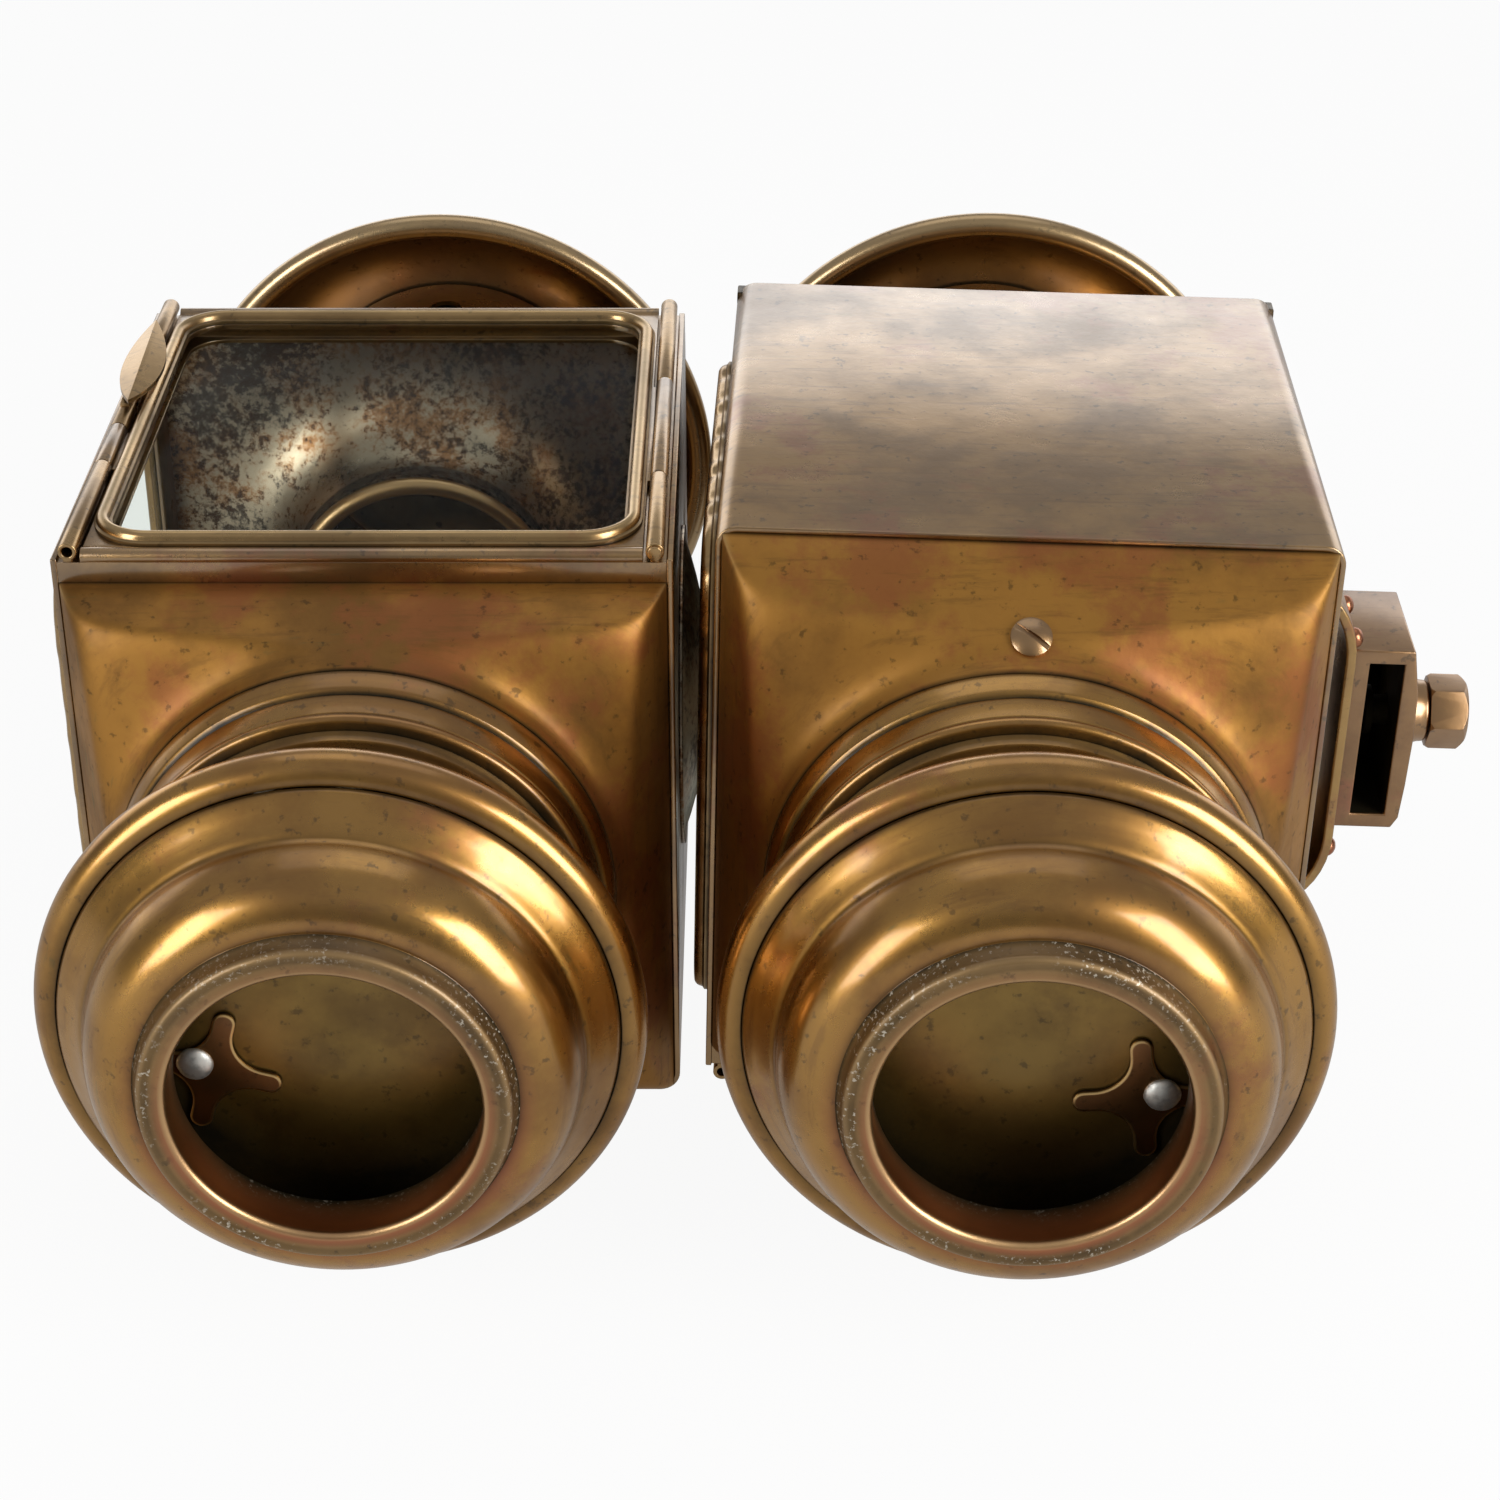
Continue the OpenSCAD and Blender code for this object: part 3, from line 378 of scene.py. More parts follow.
@dataclass(frozen=True)
class WornSilver(Finisher):
    """Silver plate rubbed through to copper and blackened at its edges."""

    name: str = "worn_silver_finish"
    silver: Colour = (0.44, 0.36, 0.26)
    copper: Colour = (0.32, 0.165, 0.075)
    black: Colour = (0.022, 0.020, 0.022)
    roughness: float = 0.26

    def shader(self, shade: Shade) -> Sock:
        """Lay copper patches, black blots and seam dirt on the silver.

        Args:
            shade: The material's node tree.

        Returns:
            The finish's shader.
        """
        at = shade.place()
        cloud = shade.noise(at, 48, 8, 0.68, shift=4.0)
        speck = shade.noise(at, 620, 5, 0.7, shift=9.0)
        dark = shade.noise(at, 26, 7, 0.72, shift=15.0)
        grime_and_shade = shade.attribute("grime_and_shade")
        colour = shade.mix((cloud * 0.6 + speck * 0.4).step(0.46, 0.56), self.silver, self.copper)
        colour = shade.mix((dark * 0.55 + speck * 0.45).step(0.48, 0.57) * 0.82, colour, self.black)
        colour = shade.mix(grime_and_shade, colour, self.black)
        rough = self.roughness + (cloud - 0.5) * 0.3 + speck * 0.12 + grime_and_shade * 0.2
        normal = shade.bump(cloud * 0.0003 + speck * 0.00004)
        return shade.principled(Base_Color=colour, Metallic=1.0, Roughness=rough, Normal=normal)


@dataclass(frozen=True)
class PlainMetal(Finisher):
    """A small bright metal piece."""

    name: str
    colour: Colour
    roughness: float = 0.3
    dull: float = 0.4

    def shader(self, shade: Shade) -> Sock:
        """Lay dull patches on the metal.

        Args:
            shade: The material's node tree.

        Returns:
            The finish's shader.
        """
        mottle = shade.noise(shade.place(), 500, 4)
        dull = tuple(self.dull * c for c in self.colour)
        colour = shade.mix(mottle.step(0.45, 0.7) * 0.6, self.colour, dull)
        return shade.principled(Base_Color=colour, Metallic=1.0, Normal=shade.bump(mottle * 0.00006),
                                Roughness=self.roughness + (mottle - 0.5) * 0.2)


@dataclass(frozen=True)
class OldGlass(Finisher):
    """Clear bevelled glass with a trace of dust, clear enough to show what is behind it."""

    name: str = "old_glass_finish"
    tint: Colour = (0.955, 0.97, 0.955)
    shine: Colour = (0.9, 0.92, 0.92)
    roughness: float = 0.04

    def shader(self, shade: Shade) -> Sock:
        """Add gloss at grazing angles and where dust lies.

        Args:
            shade: The material's node tree.

        Returns:
            The finish's shader.
        """
        dust = shade.noise(shade.place(), 90, 6, 0.7, shift=6.0)
        gloss = shade.node("ShaderNodeBsdfGlossy", {
            "Color": self.shine, "Roughness": self.roughness, "Normal": shade.bump(dust * 0.0001)})
        clear = shade.node("ShaderNodeBsdfTransparent", {"Color": self.tint})
        edge = shade.node("ShaderNodeLayerWeight", {"Blend": 0.5}, output="Facing")
        return shade.node("ShaderNodeMixShader", [(edge ** 5.0) * 0.08 + dust * 0.004, clear, gloss])


@dataclass(frozen=True)
class PaleFloor(Finisher):
    """A pale floor that is white to the eye, keeps the object's shadow and shows in the metal."""

    name: str = "floor"
    pale: Colour = (0.82, 0.82, 0.82)
    mirrored: Colour = (0.46, 0.45, 0.43)
    seen_share: float = 0.93
    mirrored_share: float = 0.36

    def shader(self, shade: Shade) -> Sock:
        """Mix plain white into the shaded floor.

        Args:
            shade: The material's node tree.

        Returns:
            The finish's shader.
        """
        glossy = shade.ray("Glossy")
        diffuse = shade.node("ShaderNodeBsdfDiffuse", {"Color": shade.mix(glossy, self.pale, self.mirrored)})
        white = shade.node("ShaderNodeEmission", {"Color": WHITE, "Strength": 1.0})
        share = (shade.seen() * self.seen_share).most(glossy * self.mirrored_share)
        return shade.node("ShaderNodeMixShader", [share, diffuse, white])


class Finish(Enum):
    """The finishes of the lamps' pieces."""

    # The panel's finish carries a painted sheen towards the chimney end and the bracket's side.
    PANEL = AgedBrass(
        "beaten_brass_finish", gold=(0.37, 0.205, 0.055), brown=(0.16, 0.088, 0.030),
        copper=(0.27, 0.10, 0.035), brown_share=0.6, copper_share=0.85, roughness=0.30, dent=0.0009,
        film=0.7, sheen_haze=0.4)
    # Its worn colour also paints the highlight along the shoulders' creases.
    SHOULDER = AgedBrass(
        "shoulder_brass_finish", gold=(0.38, 0.185, 0.038), brown=(0.19, 0.092, 0.024),
        copper=(0.30, 0.105, 0.035), worn_and_shine=(0.56, 0.37, 0.15), brown_share=0.5, copper_share=1.05,
        green_share=0.4, roughness=0.54, dent=0.0007, film=0.05)
    SPUN = AgedBrass(
        "turned_brass_finish", gold=(0.43, 0.22, 0.040), brown=(0.24, 0.112, 0.024),
        copper=(0.32, 0.12, 0.035), worn_and_shine=(0.46, 0.21, 0.07), brown_share=0.55, copper_share=0.7,
        green_share=0.55, roughness=0.27, dent=0.0002, film=0.3)
    CAP = AgedBrass(
        "cap_brass_finish", gold=(0.44, 0.29, 0.13), brown=(0.25, 0.16, 0.075), brown_share=0.6,
        roughness=0.30, dent=0.0003, film=0.45)
    RING = AgedBrass(
        "ring_brass_finish", gold=(0.34, 0.20, 0.070), brown=(0.17, 0.098, 0.038),
        copper=(0.36, 0.14, 0.05), worn_and_shine=(0.60, 0.38, 0.17), brown_share=0.5, copper_share=0.5,
        roughness=0.40, dent=0.0001, film=0.25, glint=0.7)
    TUBE = AgedBrass(
        "tube_brass_finish", gold=(0.44, 0.275, 0.11), brown=(0.21, 0.125, 0.05), brown_share=0.5,
        roughness=0.28, dent=0.0, film=0.25)
    SPRING = AgedBrass(
        "spring_brass_finish", gold=(0.25, 0.125, 0.042), brown=(0.15, 0.075, 0.028),
        worn_and_shine=(0.66, 0.44, 0.17), brown_share=0.5, copper_share=0.3, roughness=0.34, dent=0.0001, film=0.2)
    DARK = AgedBrass(
        "dark_brass_finish", gold=(0.27, 0.165, 0.036), brown=(0.16, 0.09, 0.024), brown_share=0.5,
        copper_share=0.1, green_share=0.4, roughness=0.36, dent=0.0003, film=0.15)
    PAD = AgedBrass(
        "pad_brass_finish", gold=(0.44, 0.26, 0.075), brown=(0.24, 0.13, 0.045), copper=(0.34, 0.13, 0.05),
        worn_and_shine=(0.80, 0.56, 0.24), brown_share=0.4, copper_share=0.4, roughness=0.30, dent=0.0003, film=0.4)
    CAST = AgedBrass(
        "cast_brass_finish", gold=(0.33, 0.18, 0.060), brown=(0.18, 0.09, 0.038), copper=(0.30, 0.11, 0.05),
        worn_and_shine=(0.56, 0.34, 0.14), brown_share=0.55, copper_share=0.5, roughness=0.36, dent=0.0003, film=0.5)
    # The socket's box is the painted shadow inside the bracket's slot.
    SOCKET = AgedBrass(
        "socket_brass_finish", gold=(0.34, 0.18, 0.062), brown=(0.20, 0.10, 0.036),
        copper=(0.33, 0.12, 0.055), worn_and_shine=(0.80, 0.54, 0.24), brown_share=0.55, copper_share=0.6,
        roughness=0.36, dent=0.0003, film=0.5, shadow_box=(0.19231, 0.20071, 0.04638, 0.08153, -0.02940))
    SILVER = WornSilver()
    COPPER = PlainMetal("copper_rivet_finish", (0.42, 0.17, 0.09), 0.3)
    STEEL = PlainMetal("bright_rivet_finish", (0.80, 0.79, 0.74), 0.5)
    GLASS = OldGlass()

    def material(self) -> bpy.types.Material:
        """Return the finish's material."""
        return self.value.material()


@dataclass(frozen=True)
class Part:
    """What the nodes of one short name share: finish, material slot and body."""

    finish: Finish
    slot: str
    body: str = "{side}_lamp"


PARTS: dict[str, Part] = {
    "casing": Part(Finish.PANEL, "casing_brass"),
    "door_seat": Part(Finish.PANEL, "casing_brass"),
    "lower_shoulder": Part(Finish.SHOULDER, "casing_brass"),
    "upper_shoulder": Part(Finish.PANEL, "casing_brass"),
    "side_dish": Part(Finish.SILVER, "casing_brass"),
    "collar": Part(Finish.SPUN, "spun_brass"),
    "skirt": Part(Finish.SPUN, "spun_brass"),
    "chimney_neck": Part(Finish.SPUN, "spun_brass"),
    "umbrella_cap": Part(Finish.CAP, "spun_brass"),
    "crown": Part(Finish.CAP, "spun_brass"),
    "flue": Part(Finish.RING, "ring_brass"),
    "reflector": Part(Finish.SILVER, "silvered"),
    "air_baffle": Part(Finish.DARK, "dark_brass"),
    "base_dome": Part(Finish.SPUN, "spun_brass", "{side}_base"),
    "base_ring": Part(Finish.RING, "ring_brass", "{side}_base"),
    "well_plate": Part(Finish.DARK, "dark_brass", "{side}_base"),
    "star_spring": Part(Finish.SPRING, "dark_brass", "{side}_base"),
    "spring_rivet": Part(Finish.STEEL, "rivet_steel", "{side}_base"),
    "frame_tubes": Part(Finish.TUBE, "tube_brass"),
    "hinge_pin": Part(Finish.TUBE, "tube_brass"),
    "window_bezel": Part(Finish.TUBE, "tube_brass"),
    "window_glass": Part(Finish.GLASS, "glass"),
    "shoulder_screw": Part(Finish.CAST, "tube_brass"),
    "door_frame": Part(Finish.PANEL, "casing_brass", "{side}_door"),
    "door_bezel": Part(Finish.TUBE, "tube_brass", "{side}_door"),
    "door_glass": Part(Finish.GLASS, "glass", "{side}_door"),
    "door_latch": Part(Finish.TUBE, "tube_brass", "{side}_latch"),
    "bracket_pad": Part(Finish.PAD, "bracket_brass"),
    "bracket_socket": Part(Finish.SOCKET, "bracket_brass"),
    "bracket_rivets": Part(Finish.COPPER, "copper"),
    "clamp_shoe": Part(Finish.SOCKET, "bracket_brass", "clamp_shoe"),
    "set_screw": Part(Finish.SOCKET, "bracket_brass", "set_screw"),
}


def part_of(node: str) -> Part:
    """Return what a node has by its short name, which follows its lamp's side."""
    return PARTS[node.split("_", 1)[1]]


def dress_frame(frame: dict[str, Any]) -> None:
    """Give every node of the frame its finish.

    Args:
        frame: The loaded frame.
    """
    for node, obj in frame["nodes"].items():
        obj.data.materials.clear()
        obj.data.materials.append(part_of(node).finish.material())
        LOG.info("dressed %s", node)


def stand_in(obj: bpy.types.Object, node: str) -> None:
    """Let a piece ride on a node's body and stand for the node, which is hidden.

    Args:
        obj: The piece.
        node: The node's name.
    """
    part = part_of(node)
    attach(obj, part.body.format(side=node.split("_", 1)[0]))
    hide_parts(node)
    LOG.info("built %s", obj.name)


# ----------------------------------------------------------------- mesh shapes


@dataclass
class Station:
    """One point of a contour: radius, axial place, grime and painted shade, wear and the flush of copper."""

    r: float
    y: float
    grime_and_shade: float = 0.0
    wear_and_shine: float = 0.0
    flush: float = 0.0


class Contour:
    """A closed outline of radius and axial place, drawn piece by piece, in millimetres."""

    def __init__(self, r: float, y: float, grime_and_shade: float = 0.0, wear_and_shine: float = 0.0) -> None:
        """Start the outline at a point."""
        self.stations = [Station(r, y, grime_and_shade, wear_and_shine)]

    def to(self, r: float, y: float, grime_and_shade: float = 0.0, wear_and_shine: float = 0.0, flush: float = 0.0) -> "Contour":
        """Go straight to a point and return the outline."""
        self.stations.append(Station(r, y, grime_and_shade, wear_and_shine, flush))
        return self

    def arc(self, centre: Point, radius: float, start: float, end: float, steps: int = 12,
            grime_and_shade: Point = (0.0, 0.0), wear_and_shine: Point = (0.0, 0.0), flat: float = 1.0) -> "Contour":
        """Follow an arc.

        Args:
            centre: Its centre.
            radius: Its radius.
            start: The first angle in degrees.
            end: The last angle.
            steps: The number of steps.
            grime_and_shade: Grime at its ends and at its middle, where less than nothing counts as none.
            wear_and_shine: Wear at its ends and at its middle.
            flat: The axial radius as a share of the radius.

        Returns:
            The outline.
        """
        for i in range(steps + 1):
            t = i / steps
            a = math.radians(start + (end - start) * t)
            hump = math.sin(math.pi * t)
            self.to(centre[0] + radius * math.cos(a), centre[1] + radius * flat * math.sin(a),
                    max(grime_and_shade[0] + (grime_and_shade[1] - grime_and_shade[0]) * hump, 0.0), wear_and_shine[0] + (wear_and_shine[1] - wear_and_shine[0]) * hump)
        return self

    def curve(self, points: Sequence[Sequence[float]], steps: int = 6) -> "Contour":
        """Pass smoothly through points.

        Args:
            points: The radius, place and, where given, grime and wear of each.
            steps: The number of steps from one to the next.

        Returns:
            The outline.
        """
        knots = [self.stations[-1]] + [Station(*p) for p in points]
        for i, (a, b) in enumerate(zip(knots, knots[1:])):
            before, after = knots[max(i - 1, 0)], knots[min(i + 2, len(knots) - 1)]
            for k in range(1, steps + 1):
                t = k / steps
                t2, t3 = t * t, t * t * t
                r, y = (0.5 * (2 * q + (s - p) * t + (2 * p - 5 * q + 4 * s - u) * t2
                               + (3 * q - p - 3 * s + u) * t3)
                        for p, q, s, u in ((before.r, a.r, b.r, after.r), (before.y, a.y, b.y, after.y)))
                self.to(r, y, a.grime_and_shade + (b.grime_and_shade - a.grime_and_shade) * t, a.wear_and_shine + (b.wear_and_shine - a.wear_and_shine) * t)
        return self

    def back(self, thickness: float, first: int = 0, grime_and_shade: float = 0.3) -> "Contour":
        """Return to a station at a thickness from the path.

        Args:
            thickness: The distance to the path's left.
            first: The station to return to.
            grime_and_shade: Grime on the way.

        Returns:
            The outline.
        """
        path = self.stations[first:]
        ends = len(path) - 1
        for i in range(ends, -1, -1):
            before, after = path[max(i - 1, 0)], path[min(i + 1, ends)]
            run = math.hypot(after.r - before.r, after.y - before.y) or 1.0
            self.to(max(path[i].r - (after.y - before.y) / run * thickness, 0.0),
                    path[i].y + (after.r - before.r) / run * thickness, grime_and_shade)
        return self


class Sheet:
    """A mesh under construction in a lamp's own frame, in millimetres."""

    def __init__(self) -> None:
        """Start empty."""
        self.points: list[Triple] = []
        self.faces: list[tuple[int, ...]] = []
        self.marks: list[Triple] = []

    def vertex(self, x: float, y: float, z: float, grime_and_shade: float = 0.0, wear_and_shine: float = 0.0,
               flush: float = 0.0) -> int:
        """Add a vertex.

        Args:
            x: Its place across the lamp.
            y: Its place along the lamp's axis.
            z: Its place towards the door.
            grime_and_shade: Its dirt, and painted shade where it stands for shade.
            wear_and_shine: Its rubbing, and a painted highlight where it stands for one.
            flush: Its flush of copper.

        Returns:
            Its number.
        """
        self.points.append((x, y, z))
        self.marks.append((grime_and_shade, wear_and_shine, flush))
        return len(self.points) - 1

    def weave(self, rows: list[list[int]], close_rows: bool = False) -> None:
        """Join rows of vertices by quads. Each row is a loop.

        Args:
            rows: Vertex numbers, row by row.
            close_rows: Whether the last row joins the first.
        """
        width = len(rows[0])
        for low, high in zip(rows, rows[1:] + rows[:1] if close_rows else rows[1:]):
            for j in range(width):
                k = (j + 1) % width
                self.faces.append((low[j], low[k], high[k], high[j]))

    def lathe(self, contour: Contour, steps: int = 176) -> "Sheet":
        """Turn a closed contour about the lamp's axis.

        Args:
            contour: The contour.
            steps: The number of steps round the axis.

        Returns:
            The sheet.
        """
        turns = [(math.cos(2 * math.pi * j / steps), math.sin(2 * math.pi * j / steps)) for j in range(steps)]
        self.weave([[self.vertex(s.r * c, s.y, s.r * n, s.grime_and_shade, s.wear_and_shine, s.flush) for c, n in turns]
                    for s in contour.stations], close_rows=True)
        return self

    def sweep(self, loop: list[tuple[Vector, Vector]], lift: Vector, section: Sequence[Sequence[float]],
              ripple: Callable[[float], float] = lambda t: 0.0) -> "Sheet":
        """Sweep a closed section round a closed loop.

        Args:
            loop: Points and outward directions.
            lift: The direction of the section's height.
            section: Outward distance, height, grime and wear of each corner.
            ripple: Extra outward distance of the outermost corners, by place along the loop from 0 to 1.

        Returns:
            The sheet.
        """
        rows = []
        outer = 0.6 * max(c[0] for c in section)
        for i, (at, out) in enumerate(loop):
            extra = ripple(i / len(loop))
            row = []
            for distance, height, *marks in section:
                point = at + out * (distance + (extra if distance > outer else 0.0)) + lift * height
                row.append(self.vertex(*point, *marks))
            rows.append(row)
        self.weave(rows, close_rows=True)
        return self

    def build(self, name: str, place: Matrix, finish: Finish, sharp: float = SHARP_DEG) -> bpy.types.Object:
        """Close the mesh and turn its faces outwards.

        Args:
            name: The object's name.
            place: The matrix from the lamp's own frame to the row frame.
            finish: Its finish.
            sharp: The angle in degrees past which an edge stays sharp.

        Returns:
            The finished object.
        """
        mesh = bpy.data.meshes.new(name)
        mesh.from_pydata([place @ Vector(p) for p in self.points], [], self.faces)
        for mark, values in zip(MARKS, zip(*self.marks)):
            mesh.attributes.new(mark, "FLOAT", "POINT").data.foreach_set("value", values)
        shell = bmesh.new()
        shell.from_mesh(mesh)
        bmesh.ops.remove_doubles(shell, verts=shell.verts, dist=1e-6)
        bmesh.ops.dissolve_degenerate(shell, edges=shell.edges, dist=1e-7)
        bmesh.ops.recalc_face_normals(shell, faces=shell.faces)
        shell.to_mesh(mesh)
        shell.free()
        return finished(name, mesh, finish, sharp)


def finished(name: str, mesh: bpy.types.Mesh, finish: Finish, sharp: float) -> bpy.types.Object:
    """Shade a mesh smooth, give it its finish and link it as an object.

    Args:
        name: The object's name.
        mesh: Its mesh.
        finish: Its finish.
        sharp: The angle in degrees past which an edge stays sharp.

    Returns:
        The object.
    """
    mesh.polygons.foreach_set("use_smooth", [True] * len(mesh.polygons))
    mesh.set_sharp_from_angle(angle=math.radians(sharp))
    mesh.materials.append(finish.material())
    return linked(name, mesh)


def linked(name: str, data: bpy.types.ID) -> bpy.types.Object:
    """Link some data to the scene as an object.

    Args:
        name: The object's name.
        data: Its mesh, camera or light.

    Returns:
        The object.
    """
    obj = bpy.data.objects.new(name, data)
    bpy.context.scene.collection.objects.link(obj)
    return obj


def rounded_loop(width: float, height: float, radius: float, place: Callable[[float, float], Vector],
                 corner: int = 14, side: int = 24) -> list[tuple[Vector, Vector]]:
    """Draw a rounded rectangle.

    Args:
        width: Its size along the first direction.
        height: Its size along the second direction.
        radius: Its corner radius.
        place: Maps two flat coordinates to a point.
        corner: Steps of each corner.
        side: Steps of each straight side.

    Returns:
        Its points and outward directions.
    """
    flat: list[tuple[float, float, float, float]] = []
    for turn in range(4):
        sx = 1 if turn in (0, 3) else -1
        sy = 1 if turn < 2 else -1
        cx, cy = sx * (width / 2 - radius), sy * (height / 2 - radius)
        for i in range(corner + 1):
            a = math.radians(90 * turn + 90 * i / corner)
            flat.append((cx + radius * math.cos(a), cy + radius * math.sin(a), math.cos(a), math.sin(a)))
    loop = []
    for i, (x, y, nx, ny) in enumerate(flat):
        following = flat[(i + 1) % len(flat)]
        count = side if i % (corner + 1) == corner else 1
        for k in range(count):
            t = k / count
            px, py = x + (following[0] - x) * t, y + (following[1] - y) * t
            origin = place(px, py)
            loop.append((origin, place(px + nx, py + ny) - origin))
    return loop


@dataclass(frozen=True)
class Lamp:
    """One lamp of the pair: its side, its spring's place and the way from its own frame to the row frame."""

    side: str
    place: Matrix
    spring_turn: float

    @classmethod
    def left(cls) -> "Lamp":
        """Return the lamp that lies on its back."""
        return cls("left", Matrix.Translation((0, -0.060, 0.062)) @ Matrix.Scale(MM, 4), 200)

    @classmethod
    def right(cls) -> "Lamp":
        """Lay the mirrored lamp on its door, slightly turned and tilted.

        Returns:
            The lamp.
        """
        turn = Matrix.Rotation(math.radians(-1.76), 4, "Z") @ Matrix.Rotation(math.radians(1.26), 4, "Y")
        mirrored = Matrix.Diagonal((1, 1, -1, 1))
        at = Matrix.Translation((0.1204, -0.0656, 0.0644))
        return cls("right", at @ turn @ mirrored @ Matrix.Scale(MM, 4), 29)

    def piece(self, sheet: Sheet, part: str, how: str, sharp: float = SHARP_DEG) -> None:
        """Make a sheet the piece that stands for one node.

        Args:
            sheet: The sheet.
            part: The node's short name.
            how: The way of making, which ends the piece's name.
            sharp: The angle in degrees past which an edge stays sharp.
        """
        node = f"{self.side}_{part}"
        stand_in(sheet.build(f"{node}_{how}", self.place, part_of(node).finish, sharp), node)

    def turned(self, contour: Contour, part: str, steps: int = 176, how: str = "spun") -> None:
        """Turn a contour into the piece that stands for one node."""
        self.piece(Sheet().lathe(contour, steps), part, how)


# ------------------------------------------------------------- foot end pieces


@dataclass(frozen=True)
class FootEnd:
    """The collar, the flaring skirt and the twist-off base with its burner well."""

    lamp: Lamp
    neck_r: float = 40.4
    neck_y: float = -35.4
    roll: Point = (49.1, -63.7)
    roll_r: float = 4.2
    flare: float = 1.6
    dome: Point = (32.6, -75.3)
    dome_r: float = 10.2
    well_r: float = 26.45

    def build(self) -> None:
        """Make every spun piece of the foot end."""
        self.make_collar()
        self.make_skirt()
        self.make_dome()
        self.make_ring()
        self.make_plate()

    def make_collar(self) -> None:
        """Make the stepped collar that is soldered to the shoulder."""
        line = Contour(43.0, -22.4).to(45.7, -22.4, 1.0).to(46.1, -22.5, 0.9).to(46.2, -22.9, 0.6)
        line.curve([(46.1, -23.6, 0.1), (45.7, -24.9), (45.1, -26.2), (44.8, -26.7, 0.2)])
        line.to(44.2, -26.95, 0.8).to(43.8, -27.2, 1.0).to(43.85, -27.5, 0.8)
        line.curve([(44.1, -27.9, 0.2), (44.0, -29.2), (43.7, -31.0), (43.35, -32.6, 0.1)])
        line.to(43.0, -32.95, 0.9)
        line.arc((42.5, -34.2), 1.25, 70, -88, 12, (0.8, 0.0), (0.0, 0.3)).to(self.neck_r, self.neck_y, 1.0)
        line.to(43.0, -31.8)
        self.lamp.turned(line, "collar")

    def make_skirt(self) -> None:
        """Make the flaring skirt with its rolled rim."""
        neck_r, neck_y, top = self.neck_r, self.neck_y, self.neck_y - 2.5
        line = Contour(neck_r + 0.9, neck_y, 1.0).to(neck_r + 0.9, neck_y - 0.4, 0.8)
        line.curve([(neck_r + 0.35, neck_y - 1.2, 0.6), (neck_r + 0.05, neck_y - 2.2, 0.1)])
        start = math.radians(128)
        reach = self.roll[0] + self.roll_r * math.cos(start) - neck_r
        run = top - self.roll[1] - self.roll_r * math.sin(start)
        for i in range(1, 37):
            t = i / 36
            line.to(neck_r + reach * t ** self.flare, top - run * t, 0.6 * max(0.0, t - 0.94) / 0.06)
        line.arc(self.roll, self.roll_r, 124, -90, 44, (0.5, -0.4), (0.0, 0.1))
        line.to(self.roll[0] - 0.2, self.roll[1] - self.roll_r + 0.05, 0.9)
        self.lamp.turned(line.back(-1.0, grime_and_shade=0.8), "skirt")

    def make_dome(self) -> None:
        """Make the base dome: its edge, the small band over the crease and the round shoulder."""
        line = Contour(47.3, -67.4, 1.0).to(48.0, -67.5, 1.0)
        line.arc((48.25, -68.0), 0.45, 80, -30, 8, (0.9, 0.0), (0.0, 0.2))
        line.curve([(48.3, -69.0), (47.2, -70.2), (46.0, -71.4), (44.9, -72.6), (43.9, -73.8, 0.1),
                    (43.15, -74.6, 0.4), (42.85, -75.3, 0.1)], 5)
        line.arc(self.dome, self.dome_r, -4, -72, 24, flat=1.186)
        for i in range(1, 8):
            t = i / 7
            a = math.radians(-72 - 18 * i / 7)
            line.to(self.dome[0] + self.dome_r * math.cos(a), self.dome[1] + 12.1 * math.sin(a),
                    0.5 * t ** 3, 0.0, 0.9 * i / 7)
        line.to(32.5, -87.5, 0.9)
        line.back(-0.9, 20).to(46.0, -67.4)
        self.lamp.turned(line, "base_dome")

    def make_ring(self) -> None:
        """Make the heavy ring round the well's mouth."""
        line = Contour(32.0, -86.4).to(32.6, -86.4, 1.0).to(32.6, -87.3, 1.0, 0.0, 0.8)
        line.curve([(32.1, -88.1, 0.5), (31.75, -89.0, 0.1), (31.5, -90.0)], 4)
        line.arc((30.3, -90.0), 1.2, 0, -90, 8, (0.0, 0.0), (0.15, 0.9))
        line.to(29.6, -91.2, 0.1).to(29.0, -91.14, 0.15).to(28.4, -91.2, 0.1)
        line.arc((self.well_r + 1.3, -89.9), 1.3, -90, -180, 10, (0.0, 0.0), (0.1, 1.0))
        line.to(self.well_r, -89.4, 0.0, 0.0, 0.7).to(self.well_r, -88.0, 0.0, 0.0, 1.0)
        # Deeper in, the bore's wall turns dark: painted shade inside the well.
        line.to(self.well_r, -86.2, 0.3, 0.0, 1.0)
        line.to(self.well_r, -81.6, 1.0, 0.0, 0.6).to(self.well_r + 1, -81.6).to(self.well_r + 1, -86.4)
        front, inner = -86.8, 29.2
        for station in line.stations:
            if station.y < front and station.r < inner:
                station.flush = max(station.flush, min(1.0, (inner - station.r) / 1.2))
            elif station.y < front:
                station.grime_and_shade = max(station.grime_and_shade, 0.45)
        self.lamp.turned(line, "base_ring", how="turned")

    def make_plate(self) -> None:
        """Make the well's floor plate, slightly dished, with the sleeve behind it."""
        line = Contour(0.0, -67.7, 0.1)
        line.to(10, -67.72).to(18, -67.75, 0.05).to(24, -67.75, 0.15).to(27.4, -67.72, 0.5).to(32, -67.7, 0.9)
        line.to(47.3, -67.7, 1.0).to(47.3, -66.7, 1.0).to(33, -66.7).to(33, -33.7).to(32, -33.7).to(32, -66.7)
        self.lamp.turned(line.to(16, -66.7).to(0, -66.7), "well_plate", 128)


